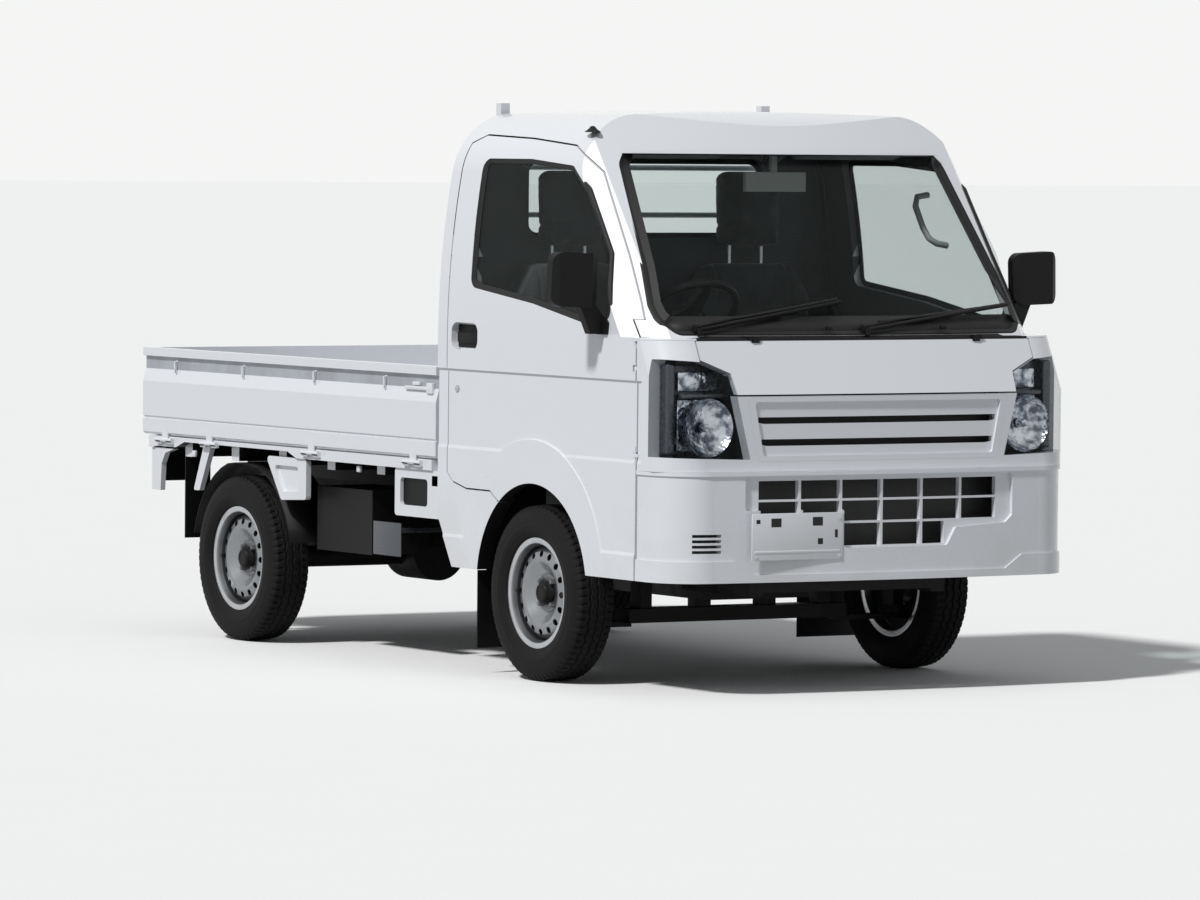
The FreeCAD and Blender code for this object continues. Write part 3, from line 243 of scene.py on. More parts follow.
finish_nodes(white_coat, "cab_shell", "door_right", "door_left", "hood_lid", "front_panel", "front_bumper",
             "grille_panel", "side_gate_left", "side_gate_right", "tailgate", "headboard", "bed_floor",
             "bed_brackets")

HANDS = (("right", -1), ("left", 1))
# The screen pillar's foot, the screen's lean, and how the pillar's face runs back from its inner edge.
SCREEN_BACK = 1.4917
SCREEN_FOOT = 1.072
SCREEN_LEAN = 0.755
PILLAR_INNER = 0.64
PILLAR_SLANT = 1.3
PLATE_THICK = 0.004
# height, inner x, outer x
PLATE_EDGES = ((1.0725, 0.6805, 0.6965), (1.1235, 0.6737, 0.6965))
PLATE_FACES = ((0, 1, 3, 2), (4, 6, 7, 5), (0, 4, 5, 1), (2, 3, 7, 6), (0, 2, 6, 4), (1, 5, 7, 3))
for hand, side in HANDS:
    points = []
    for deep in (0.0, PLATE_THICK):
        for z, inner, outer in PLATE_EDGES:
            for x in (inner, outer):
                front = -SCREEN_BACK + (z - SCREEN_FOOT) * SCREEN_LEAN + (x - PILLAR_INNER) * PILLAR_SLANT
                points.append((side * x, front + deep, z))
    faces = [face[::-side] for face in PLATE_FACES]
    mesh_piece("pillar_foot_plate_" + hand, points, faces, white_coat, "truck", smooth=False)

# ---- Glass and its seals ----
# The panes are laminated glass, clear with a slight green tint. Each sits in a moulded black rubber
# seal. The windscreen's black fired border hides its glue; drawn 42 mm wide, it is partly painted shade.
def pane_finish(name, tint, least, most):
    made = material(name, {"Base Color": (0.03, 0.035, 0.035, 1), "Roughness": 0.02,
                           "Specular IOR Level": 0.5})
    tree = made.node_tree
    wire = Wire(tree)
    clear = wire.node("ShaderNodeBsdfTransparent", (), {"Color": tint})
    facing = wire.node("ShaderNodeLayerWeight", (), {"Blend": 0.4}, out=1)
    cover = facing * (most - least) + least
    mixed = wire.node("ShaderNodeMixShader", (),
                      {0: cover, 1: clear, 2: Wire(tree, tree.nodes["Principled BSDF"].outputs[0])})
    tree.links.new(mixed.socket, tree.nodes["Material Output"].inputs["Surface"])
    return made


clear_glass = pane_finish("clear_glass", (0.935, 0.96, 0.957, 1), 0.03, 0.25)
finish_nodes(clear_glass, "windscreen", "rear_window", "door_glass_right", "door_glass_left")


def rubber_look(wire):
    grain = noise(wire, 700, 1)
    return {"Roughness": 0.5 + grain * 0.18, "Normal": bump(wire, grain, 0.15, 0.0003)}


black_rubber = material("black_rubber", {"Base Color": (0.007, 0.007, 0.0075, 1),
                                         "Specular IOR Level": 0.3}, rubber_look)

MERGE_WITHIN = 0.00002
SIDE_TURN = 0.35


def outline_of(name, facing):
    """The outer edge of a node's side that faces one way: its points in order, and their normals."""
    shape = bmesh.new()
    shape.from_mesh(nodes[name].data)
    bmesh.ops.remove_doubles(shape, verts=shape.verts, dist=MERGE_WITHIN)
    shape.normal_update()
    side = [face for face in shape.faces if face.normal.dot(facing) > SIDE_TURN]
    chosen = set(side)
    follow = {}
    for face in side:
        for loop in face.loops:
            if len(chosen.intersection(loop.edge.link_faces)) == 1:
                follow[loop.vert] = (loop.link_loop_next.vert, face.normal.copy())
    longest = []
    while follow:
        start = next(iter(follow))
        spots = []
        vert = start
        while vert in follow:
            after, normal = follow.pop(vert)
            spots.append((vert.co.copy(), normal))
            vert = after
        if len(spots) > len(longest):
            longest = spots
    shape.free()
    return longest


CORNER_RADIUS = 0.03
CORNER_STEPS = 4
CORNER_SHARE = 0.45
STRAIGHT = 0.12


def round_off(spots):
    """Cuts an outline's sharp corners back, with a few points round each."""
    made = []
    for index, (spot, normal) in enumerate(spots):
        before = spots[index - 1][0] - spot
        after = spots[(index + 1) % len(spots)][0] - spot
        if before.angle(-after) < STRAIGHT:
            made.append((spot, normal))
            continue
        reach = min(CORNER_RADIUS, before.length * CORNER_SHARE, after.length * CORNER_SHARE)
        first = spot + before.normalized() * reach
        last = spot + after.normalized() * reach
        for step in range(CORNER_STEPS + 1):
            share = step / CORNER_STEPS
            made.append((first.lerp(spot, share).lerp(spot.lerp(last, share), share), normal))
    return made


def crisp(made, angle=35):
    """Smooth shading, with the edges over an angle in degrees kept sharp."""
    made.data.shade_smooth()
    made.data.set_sharp_from_angle(angle=math.radians(angle))
    return made


def sweep(name, spots, profile, finish, body):
    """A strip round an outline. The profile's (u, v) go away from its middle and out of its face."""
    points = []
    count = len(spots)
    middle = sum((spot for spot, normal in spots), Vector()) / count
    for index, (spot, normal) in enumerate(spots):
        way = (spots[(index + 1) % count][0] - spots[index - 1][0]).normalized()
        out = way.cross(normal).normalized()
        if out.dot(spot - middle) < 0:
            out = -out
        points += [spot + out * u + normal * v for u, v in profile]
    size = len(profile)
    faces = []
    for index in range(count):
        following = (index + 1) % count
        for edge in range(size):
            faces.append((index * size + edge, index * size + (edge + 1) % size,
                          following * size + (edge + 1) % size, following * size + edge))
    made = mesh_piece(name, points, faces, finish, body)
    shape = bmesh.new()
    shape.from_mesh(made.data)
    bmesh.ops.recalc_face_normals(shape, faces=shape.faces)
    shape.to_mesh(made.data)
    shape.free()
    return crisp(made, 40)


SEAL = [(0.004, -0.004), (0.005, 0.004), (0.001, 0.009), (-0.007, 0.008), (-0.017, 0.0012),
        (-0.017, -0.001)]
# The 42 mm border is partly the fired border and partly painted shade of the headliner over the glass's
# top.
BORDER_AND_SHADE = [(0.002, 0.0006), (-0.040, 0.0006), (-0.040, 0.0002), (0.002, 0.0002)]
PANES = {"windscreen": Vector((0, -1, 0.4)), "rear_window": Vector((0, 1, 0)),
         "door_glass_right": Vector((-1, 0, 0)), "door_glass_left": Vector((1, 0, 0))}


def within_pillar(spot):
    """A door seal's spot, brought in to the slanted face of the screen pillar where it stands proud."""
    back = spot.y + SCREEN_BACK - (spot.z - SCREEN_FOOT) * SCREEN_LEAN
    limit = PILLAR_INNER + 0.001 + back / PILLAR_SLANT
    return Vector((max(-limit, min(limit, spot.x)), spot.y, spot.z))


for name, way in PANES.items():
    body = "truck"
    edge = round_off(outline_of(name, way.normalized()))
    if "door" in name:
        body = name.replace("glass_", "")
        edge = [(within_pillar(spot), normal) for spot, normal in edge]
    sweep(name + "_seal", edge, SEAL, black_rubber, body)
    if name == "windscreen":
        sweep(name + "_border", edge, BORDER_AND_SHADE, black_rubber, body)

# ---- Wheels ----
# Pressed steel wheels in silver paint carry narrow light-truck tyres. Each is held by four hexagonal
# nuts round a black hub cap, with the brake's dark drum showing through the sixteen holes.
FRONT_AXLE = -0.846
REAR_AXLE = 1.059
AXLE_HEIGHT = 0.271
TREAD_HALF = 0.056
TREAD_ROUND = 0.271
SIDE_SHAPE = [(0.0500, 0.1690), (0.0520, 0.1712), (0.0590, 0.1722), (0.0640, 0.1765), (0.0655, 0.1850),
              (0.0690, 0.1890), (0.0715, 0.2000), (0.0722, 0.2060), (0.0728, 0.2075), (0.0722, 0.2090),
              (0.0725, 0.2200), (0.0720, 0.2300), (0.0700, 0.2400), (0.0694, 0.2415), (0.0682, 0.2470),
              (0.0660, 0.2530), (0.0630, 0.2590), (0.0595, 0.2640)]
TREAD_CROWN = 0.0035
TREAD_STEPS = 41
TREAD_FROM = 0.262
SHOULDER_FROM = 0.251
SHOULDER_DEEP = 0.0025
ROUNDS = 420
SIPES = 70
SIPE_SPAN = (0.006, 0.02)
SIPE_LEAN = 40
SIPE_SHARE = 0.12
SIPE_DEEP = 0.003
SLOT_FROM = 0.036
SLOT_LEAN = 9
SLOT_SHARE = 0.3
SLOT_DEEP = 0.005
ZIGZAGS = 42
GROOVES = (-0.026, 0.0, 0.026)
GROOVE_SWAY = 0.0028
GROOVE_HALF = 0.0024
GROOVE_DEEP = 0.006


def in_slot(across, turn):
    """Whether a place is in one of the slots that cross the tread's shoulders."""
    return (turn * SIPES + abs(across) * SLOT_LEAN) % 1 < SLOT_SHARE


def tread_drop(across, turn):
    """How far the tread is cut in, at a place across it and a turn from 0 to 1."""
    wave = abs((turn * ZIGZAGS) % 1 * 2 - 1) * 2 - 1
    drop = 0
    if any(abs(across - groove - wave * GROOVE_SWAY) < GROOVE_HALF for groove in GROOVES):
        drop = GROOVE_DEEP
    if abs(across) > SLOT_FROM and in_slot(across, turn):
        drop = max(drop, SLOT_DEEP)
    if SIPE_SPAN[0] < abs(across) < SIPE_SPAN[1] and (turn * SIPES + across * SIPE_LEAN) % 1 < SIPE_SHARE:
        drop = max(drop, SIPE_DEEP)
    return drop


def tyre_mesh(centre):
    tread = []
    for step in range(TREAD_STEPS):
        across = TREAD_HALF * (1 - 2 * step / (TREAD_STEPS - 1))
        tread.append((across, TREAD_ROUND - TREAD_CROWN * (across / TREAD_HALF) ** 2))
    section = SIDE_SHAPE + tread + [(-across, high) for across, high in reversed(SIDE_SHAPE)]
    points = []
    for turn_step in range(ROUNDS):
        turn = turn_step / ROUNDS
        angle = 2 * math.pi * turn
        for across, high in section:
            drop = 0
            if high > TREAD_FROM:
                drop = tread_drop(across, turn)
            elif high > SHOULDER_FROM and in_slot(across, turn):
                drop = SHOULDER_DEEP
            radius = high - drop
            points.append(centre + Vector((across, radius * math.sin(angle), radius * math.cos(angle))))
    size = len(section)
    faces = []
    for turn_step in range(ROUNDS):
        following = (turn_step + 1) % ROUNDS
        for index in range(size - 1):
            faces.append((turn_step * size + index, following * size + index,
                          following * size + index + 1, turn_step * size + index + 1))
    return points, faces


def tyre_look(wire):
    # The mottle here is pale road dust on the rubber.
    mottle = noise(wire, 9, 5).rise(0.3, 0.75)
    grain = noise(wire, 500, 2)
    return {"Base Color": (mottle * 0.5).blend((0.008, 0.0075, 0.008, 1), (0.026, 0.024, 0.023, 1)),
            "Roughness": 0.62 + mottle * 0.2, "Normal": bump(wire, grain, 0.25, 0.0004)}


def silver_dust_and_shade_look(wire):
    """Silver paint with brake dust, and painted shade in the channel, round the hub and on the disc."""
    flake = noise(wire, 1400, 1)
    spot = place(wire)
    along = wire.node("ShaderNodeSeparateXYZ", (), {0: spot}, out=1)
    high = wire.node("ShaderNodeSeparateXYZ", (), {0: spot}, out=2) - AXLE_HEIGHT
    ahead = wire.math("MINIMUM", wire.math("ABSOLUTE", along - FRONT_AXLE),
                      wire.math("ABSOLUTE", along - REAR_AXLE))
    radius = wire.math("SQRT", ahead * ahead + high * high)
    # Painted shade: the rim's channel and a ring round the hub are darkened; the noise adds patches of
    # brake dust.
    channel = radius.rise(0.128, 0.144) * (1 - radius.rise(0.148, 0.155))
    middle = 1 - radius.rise(0.045, 0.068)
    film = wire.math("MAXIMUM", channel, middle * 0.8) * 0.75 + noise(wire, 14, 4).rise(0.35, 0.8) * 0.2
    # Painted shade: the disc is a darker silver than the lip.
    disc = (1 - radius.rise(0.150, 0.158)).blend((0.52, 0.535, 0.555, 1), (0.30, 0.31, 0.325, 1))
    return {"Base Color": film.blend(disc, (0.07, 0.07, 0.072, 1)),
            "Roughness": 0.24 + film * 0.2 + flake * 0.06, "Normal": bump(wire, flake, 0.06, 0.0003)}


def dark_metal_look(wire):
    film = noise(wire, 22, 4).rise(0.3, 0.8)
    return {"Base Color": film.blend((0.008, 0.008, 0.0085, 1), (0.026, 0.024, 0.022, 1)),
            "Roughness": 0.45 + film * 0.25}


tyre_rubber = material("tyre_rubber", {"Specular IOR Level": 0.12}, tyre_look)
wheel_silver = material("wheel_silver", {"Metallic": 0.95}, silver_dust_and_shade_look)
dark_metal = material("dark_metal", {"Metallic": 0.2, "Specular IOR Level": 0.15}, dark_metal_look)


def spun(centre, side, profile, around=48):
    """A profile of (x, radius) turned about an axle, with x outward on either side of the truck."""
    points, faces = [], []
    size = len(profile)
    for step in range(around):
        angle = 2 * math.pi * step / around
        following = (step + 1) % around
        for x, radius in profile:
            points.append(centre + Vector((side * x, radius * math.sin(angle), radius * math.cos(angle))))
        for index in range(size - 1):
            quad = (step * size + index, step * size + index + 1,
                    following * size + index + 1, following * size + index)
            faces.append(quad[::side])
    return points, faces


def joined(parts):
    """Several lists of points and faces as one."""
    points, faces = [], []
    for some, sides in parts:
        start = len(points)
        points += some
        faces += [tuple(start + corner for corner in face) for face in sides]
    return points, faces


HUB_FACE = 0.013
NUT_CIRCLE = 0.0485
VALVE_CIRCLE = 0.134
HUB_CAP = [(0.0140, 0.0370), (0.0200, 0.0362), (0.0225, 0.0340), (0.0360, 0.0312), (0.0405, 0.0290),
           (0.0425, 0.0262), (0.0432, 0.0200), (0.0415, 0.0185), (0.0412, 0.0005)]
NUT = [(HUB_FACE, 0.0100), (0.0175, 0.0098), (0.0195, 0.0084), (0.0270, 0.0080), (0.0290, 0.0064),
       (0.0295, 0.0002)]
BACKING = [(-0.012, 0.0700), (-0.012, 0.1180), (-0.020, 0.1430)]
VALVE = [(0.020, 0.0042), (0.034, 0.0040), (0.036, 0.0048), (0.046, 0.0046), (0.047, 0.0005)]
for end in ("front", "rear"):
    for hand, side in HANDS:
        label = f"{end}_{hand}"
        body = f"{end}_wheel_{hand}"
        low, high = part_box("tyre_" + label)
        centre = (low + high) / 2
        tyre = crisp(mesh_piece("tyre_tread_" + label, *tyre_mesh(centre), tyre_rubber, body), 50)
        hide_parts("tyre_" + label)
        finish_nodes(wheel_silver, "rim_" + label)
        for part, profile in (("hub_cap_", HUB_CAP), ("brake_shield_", BACKING)):
            crisp(mesh_piece(part + label, *spun(centre, side, profile), dark_metal, body))
        nuts = []
        for index in range(4):
            angle = math.pi / 4 + index * math.pi / 2
            spot = centre + Vector((0, NUT_CIRCLE * math.sin(angle), NUT_CIRCLE * math.cos(angle)))
            nuts.append(spun(spot, side, NUT, 6))
        crisp(mesh_piece("wheel_nuts_" + label, *joined(nuts), wheel_silver, body))
        valve = spun(centre + Vector((0, VALVE_CIRCLE, 0)), side, VALVE, 12)
        crisp(mesh_piece("valve_" + label, *valve, black_rubber, body))

# ---- Cab linings ----
# The cab's inner sides carry moulded dark grey trim and a pale fabric headliner, and both wheel arches
# are lined with a black plastic sheet clipped behind the edge.
def black_plastic_look(wire):
    grain = noise(wire, 900, 1)
    return {"Roughness": 0.42 + grain * 0.18, "Normal": bump(wire, grain, 0.25, 0.0003)}


def trim_look(wire):
    grain = noise(wire, 650, 2)
    wear = noise(wire, 7, 3).rise(0.3, 0.8)
    return {"Base Color": wear.blend((0.050, 0.052, 0.055, 1), (0.066, 0.068, 0.070, 1)),
            "Roughness": 0.55 + grain * 0.2, "Normal": bump(wire, grain, 0.3, 0.0003)}


def liner_look(wire):
    weave = noise(wire, 1100, 2)
    return {"Base Color": weave.rise(0.3, 0.7).blend((0.20, 0.20, 0.195, 1), (0.26, 0.26, 0.25, 1)),
            "Roughness": 0.85 + weave * 0.1, "Normal": bump(wire, weave, 0.3, 0.0005)}


black_plastic = material("black_plastic", {"Base Color": (0.006, 0.006, 0.0065, 1),
                                           "Specular IOR Level": 0.16}, black_plastic_look)
grey_trim = material("grey_trim", {}, trim_look)
headliner = material("headliner", {"Sheen Weight": 0.15}, liner_look)
CAB_MIDDLE = Vector((0, -0.85, 1.0))
LINING_HALF = 0.705
LINING_LOW = 0.4
HEADLINER_LOW = 1.62
ARCH_MIDDLE = Vector((0, -0.858, 0.283))
ARCH_RADIUS = 0.325
ARCH_LIP = 0.006
ARCH_HALF = 0.716
SILL_HEIGHT = 0.65


def faces_cabin(spot, facing):
    inward = CAB_MIDDLE - spot
    return facing.dot(inward.normalized()) > 0.2 and abs(spot.x) < LINING_HALF and spot.z > LINING_LOW


def faces_headliner(spot, facing):
    return faces_cabin(spot, facing) and spot.z > HEADLINER_LOW


def faces_arch(spot, facing):
    away = Vector((0, spot.y, spot.z)) - ARCH_MIDDLE
    on_edge = abs(away.length - ARCH_RADIUS) < ARCH_LIP and facing.dot(away) < 0 and abs(facing.x) < 0.3
    return on_edge or (away.length < ARCH_RADIUS + 0.05 and abs(spot.x) < ARCH_HALF)


def faces_road(spot, facing):
    return facing.z < -0.7 and spot.z < SILL_HEIGHT


for name in ("cab_shell", "door_right", "door_left"):
    face_finish(name, grey_trim, faces_cabin)
    face_finish(name, black_plastic, faces_arch)
    face_finish(name, black_plastic, faces_road)
face_finish("cab_shell", headliner, faces_headliner)
finish_nodes(grey_trim, "cab_floor", "dashboard")
finish_nodes(black_plastic, "steering_column", "floor_levers")

# ---- Dashboard fittings ----
# A moulded dashboard has a hooded meter ahead of the wheel, four slatted vents across it and a row
# of three knobs in the middle. The steering wheel is black.
def chamfered(name, spans, finish, body, edge=0.002, tilt=None, about=None):
    """Blocks with rounded edges, each from its low corner to its high corner, as one piece."""
    shape = bmesh.new()
    for low, high in spans:
        low, high = Vector(low), Vector(high)
        middle, size = (low + high) / 2, high - low
        for vert in bmesh.ops.create_cube(shape, size=1)["verts"]:
            vert.co = middle + Vector((vert.co.x * size.x, vert.co.y * size.y, vert.co.z * size.z))
    bmesh.ops.bevel(shape, geom=shape.edges[:], offset=edge, segments=3, profile=0.5, affect="EDGES")
    if tilt:
        bmesh.ops.rotate(shape, verts=shape.verts, cent=about, matrix=tilt)
    mesh = bpy.data.meshes.new(name)
    shape.to_mesh(mesh)
    shape.free()
    mesh.materials.append(finish)
    mesh.shade_smooth()
    mesh.set_sharp_from_angle(angle=math.radians(50))
    made = bpy.data.objects.new(name, mesh)
    bpy.context.scene.collection.objects.link(made)
    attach(made, body)
    return made


def on_side(side, inner, outer, low, high):
    """A block's two corners on one side of the truck: x from inner to outer, (y, z) from low to high."""
    near, far = sorted((side * inner, side * outer))
    return (near, *low), (far, *high)


def tube(name, spots, radius, finish, body, sides=12):
    """A round bar along a list of spots, with flat ends."""
    spots = [Vector(spot) for spot in spots]
    last = len(spots) - 1
    points = []
    for index, spot in enumerate(spots):
        way = (spots[min(index + 1, last)] - spots[max(index - 1, 0)]).normalized()
        up = Vector((0, 0, 1)) if abs(way.z) < 0.9 else Vector((0, 1, 0))
        left = way.cross(up).normalized()
        over = left.cross(way)
        for step in range(sides):
            angle = 2 * math.pi * step / sides
            points.append(spot + (left * math.cos(angle) + over * math.sin(angle)) * radius)
    faces = []
    for index in range(last):
        for step in range(sides):
            faces.append((index * sides + step, index * sides + (step + 1) % sides,
                          (index + 1) * sides + (step + 1) % sides, (index + 1) * sides + step))
    faces += [tuple(range(sides))[::-1], tuple(range(last * sides, (last + 1) * sides))]
    return crisp(mesh_piece(name, points, faces, finish, body), 50)


finish_nodes(black_plastic, "steering_wheel")
DASH_FACE = -1.293
VENT_HEIGHT = 0.985
VENT_STEP = 0.013
VENT_HALF = 0.048
KNOB_HALF = 0.016
vents = []
for x in (-0.56, -0.10, 0.10, 0.56):
    for step in range(-2, 3):
        z = VENT_HEIGHT + step * VENT_STEP
        vents.append(((x - VENT_HALF, DASH_FACE, z), (x + VENT_HALF, DASH_FACE + 0.010, z + 0.005)))
chamfered("dash_vents", vents, black_plastic, "truck", 0.0012)
chamfered("meter_hood", [((-0.45, -1.385, 1.060), (-0.21, -1.292, 1.118))], black_plastic, "truck", 0.018)
knobs = [((x - KNOB_HALF, DASH_FACE, 0.900), (x + KNOB_HALF, DASH_FACE + 0.019, 0.932))
         for x in (-0.06, 0.0, 0.06)]
chamfered("heater_knobs", knobs, black_plastic, "truck", 0.009)

# ---- Seats ----
# Two foam seats are covered in grey knitted cloth with sewn channels. Each back carries a tall
# headrest on two steel posts.
def cloth_look(wire):
    threads = {"Vector": place(wire), "Scale": 160, "Distortion": 1.5}
    across = wire.node("ShaderNodeTexWave", {"bands_direction": "X"}, threads)
    along = wire.node("ShaderNodeTexWave", {"bands_direction": "Z"}, threads)
    weave = across * along
    fade = noise(wire, 8, 3).rise(0.3, 0.75)
    return {"Base Color": fade.blend((0.034, 0.036, 0.038, 1), (0.062, 0.064, 0.066, 1)),
            "Roughness": 0.82 + weave * 0.12, "Normal": bump(wire, weave, 0.35, 0.0008)}


seat_cloth = material("seat_cloth", {"Sheen Weight": 0.3, "Sheen Roughness": 0.5}, cloth_look)
PAD_VOXEL = 0.010
PAD_INSET = 0.007
PAD_SWELL = 0.012
PAD_PRESSURE = 4
PAD_FRAMES = 20
SEAM_DEEP = 0.005
SEAM_WIDE = 0.006
HEADREST_FOOT = 1.316
# node, fill, axis across the seams, seam places from the pad's middle
PADS = (("seat_cushions", 0.7, 0, (-0.145, 0.145)), ("seat_backs", 0.7, 0, (-0.135, 0.135)),
        ("headrests", 0.6, 2, (-0.055,)))


def loose_part(name, hand):
    """One hand's part of a CAD node, as a bmesh."""
    shape = bmesh.new()
    shape.from_mesh(nodes[name].data)
    bmesh.ops.delete(shape, geom=[vert for vert in shape.verts if vert.co.x * hand < 0], context="VERTS")
    bmesh.ops.remove_doubles(shape, verts=shape.verts, dist=MERGE_WITHIN)
    return shape


def swollen(pad):
    """Lets cloth under pressure swell a pad, no point further than PAD_SWELL, and keeps the result."""
    rest = [vert.co.copy() for vert in pad.data.vertices]
    puff = pad.modifiers.new("Cloth", "CLOTH")
    puff.settings.use_pressure = True
    puff.settings.uniform_pressure_force = PAD_PRESSURE
    puff.settings.effector_weights.gravity = 0
    puff.settings.quality = 4
    puff.collision_settings.use_collision = False
    for frame_number in range(1, PAD_FRAMES + 1):
        bpy.context.scene.frame_set(frame_number)
    ready = pad.evaluated_get(bpy.context.evaluated_depsgraph_get())
    moved = [vert.co.copy() for vert in ready.data.vertices]
    pad.modifiers.remove(puff)
    for vert, start, end in zip(pad.data.vertices, rest, moved):
        step = end - start
        vert.co = start + step * min(1, PAD_SWELL / max(step.length, 1e-6))
    bpy.context.scene.frame_set(1)


def applied(pad):
    """Makes a pad's modifiers part of its mesh."""
    ready = pad.evaluated_get(bpy.context.evaluated_depsgraph_get())
    pad.data = bpy.data.meshes.new_from_object(ready)
    pad.modifiers.clear()


for name, fill, axis, seams in PADS:
    for hand, side in HANDS:
        shape = loose_part(name, side)
        if name == "headrests":
            posts = [vert for vert in shape.verts if vert.co.z < HEADREST_FOOT]
            bmesh.ops.delete(shape, geom=posts, context="VERTS")
            bmesh.ops.holes_fill(shape, edges=shape.edges, sides=0)
        bmesh.ops.recalc_face_normals(shape, faces=shape.faces)
        mesh = bpy.data.meshes.new(f"{name}_{hand}")
        shape.to_mesh(mesh)
        shape.free()
        pad = bpy.data.objects.new(f"{name}_{hand}", mesh)
        bpy.context.scene.collection.objects.link(pad)
        low = Vector([min(vert.co[way] for vert in mesh.vertices) for way in range(3)])
        high = Vector([max(vert.co[way] for vert in mesh.vertices) for way in range(3)])
        middle = (low + high) / 2
        for vert in mesh.vertices:
            for way in range(3):
                half = (high[way] - low[way]) / 2
                vert.co[way] = middle[way] + (vert.co[way] - middle[way]) * (1 - PAD_INSET / half)
        skin = pad.modifiers.new("Remesh", "REMESH")
        skin.mode = "VOXEL"
        skin.voxel_size = PAD_VOXEL
        applied(pad)
        swollen(pad)
        finer = pad.modifiers.new("Subdivision", "SUBSURF")
        finer.levels = finer.render_levels = 1
        applied(pad)
        pull = [0.0] * len(pad.data.vertices)
        for index, vert in enumerate(pad.data.vertices):
            for seam in seams:
                away = (vert.co[axis] - middle[axis] - seam) / SEAM_WIDE
                pull[index] += SEAM_DEEP * math.exp(-away * away)
        normals = [vert.normal.copy() for vert in pad.data.vertices]
        for vert, normal, deep in zip(pad.data.vertices, normals, pull):
            vert.co -= normal * deep
            for way in range(3):
                vert.co[way] = min(max(vert.co[way], low[way]), high[way])
        pad.data.materials.clear()
        pad.data.materials.append(seat_cloth)
        pad.data.shade_smooth()
        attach(pad, "truck")
        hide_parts(name)
for side in (-1, 1):
    for shift in (-0.06, 0.06):
        x = side * 0.33 + shift
        tube(f"rest_post_{side + 1}_{'in' if shift * side < 0 else 'out'}",
             [(x, -0.392, 1.262), (x, -0.392, 1.30), (x, -0.392, 1.345)], 0.006, wheel_silver, "truck")

# ---- Inside the cab ----
# A glass mirror hangs from the roof in a pale plastic shell. A grip is screwed to the passenger's
# windscreen pillar, and a sun visor folds against the roof over each seat.
def mirror_face_look(wire):
    return {"Roughness": 0.03 + noise(wire, 20, 2) * 0.03}


mirror_glass = material("mirror_glass", {"Base Color": (0.72, 0.74, 0.75, 1), "Metallic": 1.0},
                        mirror_face_look)
pale_plastic = material("pale_plastic", {"Base Color": (0.42, 0.425, 0.41, 1)}, black_plastic_look)
finish_nodes(pale_plastic, "rear_view_mirror")
chamfered("inside_mirror_glass", [((-0.104, -1.0600, 1.510), (0.104, -1.0575, 1.560))], mirror_glass,
          "truck", 0.001)
GRIP = [(0.612, -1.007, 1.496), (0.566, -1.016, 1.490), (0.546, -1.036, 1.462), (0.548, -1.076, 1.396),
        (0.556, -1.098, 1.362), (0.578, -1.110, 1.346), (0.616, -1.112, 1.340)]
tube("pillar_grip", GRIP, 0.010, pale_plastic, "truck")
VISOR_LEAN = Matrix.Rotation(math.radians(-14), 3, "X")
VISOR_HINGE = Vector((0, -1.01, 1.625))
for hand, side in HANDS:
    chamfered("sun_visor_" + hand, [on_side(side, 0.14, 0.52, (-1.085, 1.618), (-0.945, 1.632))],
              headliner, "truck", 0.006, VISOR_LEAN, VISOR_HINGE)

# ---- Headlamps ----
# Each lamp is a clear plastic lens over a chromed reflector bowl with a bulb shield, a dark grey
# outer panel and a faceted turn signal above. The lens is bonded into the nose. The chrome carries
# painted reflection in dark bluish patches.
def chrome_reflection_look(wire):
    facets = wire.node("ShaderNodeTexVoronoi", {"feature": "F1"}, {"Vector": place(wire), "Scale": 75})
    # Painted reflection: dark bluish patches in the chrome's colour stand for what its mirror face
    # reflects.
    painted_reflection_patches = noise(wire, 34, 3).rise(0.35, 0.65)
    return {"Base Color": painted_reflection_patches.blend((0.10, 0.115, 0.15, 1), (0.64, 0.67, 0.72, 1)),
            "Roughness": 0.08 + facets * 0.25, "Normal": bump(wire, facets, 0.6, 0.003)}


clear_lens = pane_finish("clear_lens", (0.93, 0.94, 0.945, 1), 0.03, 0.35)
chrome = material("chrome", {"Metallic": 1.0}, chrome_reflection_look)
finish_nodes(clear_lens, "headlamps")


def smoked_look(wire):
    return {"Roughness": 0.2 + noise(wire, 60, 2) * 0.15}


lamp_grey = material("lamp_grey", {"Base Color": (0.085, 0.092, 0.105, 1), "Metallic": 0.5}, smoked_look)
BOWL = [(0.000, 0.0005), (0.003, 0.028), (0.010, 0.054), (0.021, 0.073), (0.036, 0.085), (0.040, 0.088)]
BULB = [(0.006, 0.0130), (0.030, 0.0130), (0.036, 0.0100), (0.038, 0.0005)]
BOWL_ACROSS = 0.576
BOWL_BACK = -1.566
BOWL_HEIGHT = 0.806
# piece, inner x, outer x, low (y, z), high (y, z), finish, edge
LAMP_BLOCKS = (("turn_bowl", 0.508, 0.648, (-1.548, 0.912), (-1.540, 0.972), chrome, 0.003),
               ("lamp_bezel", 0.490, 0.652, (-1.580, 0.893), (-1.540, 0.906), lamp_grey, 0.004),
               ("lamp_panel", 0.668, 0.698, (-1.566, 0.728), (-1.532, 0.996), lamp_grey, 0.006),
               ("lamp_reflector", 0.482, 0.650, (-1.548, 0.735), (-1.5345, 0.890), chrome, 0.003),
               ("lamp_back", 0.480, 0.700, (-1.5345, 0.722), (-1.5290, 0.99), lamp_grey, 0.001))


def facing_front(profile, around=40):
    """A profile of (depth towards the front, radius), spun about an axis that runs front to rear."""
    points, faces = spun(Vector((0, 0, 0)), 1, profile, around)
    turn = Matrix.Rotation(math.radians(-90), 3, "Z")
    return [turn @ point for point in points], faces


def shifted(part, spot):
    return [point + Vector(spot) for point in part[0]], part[1]


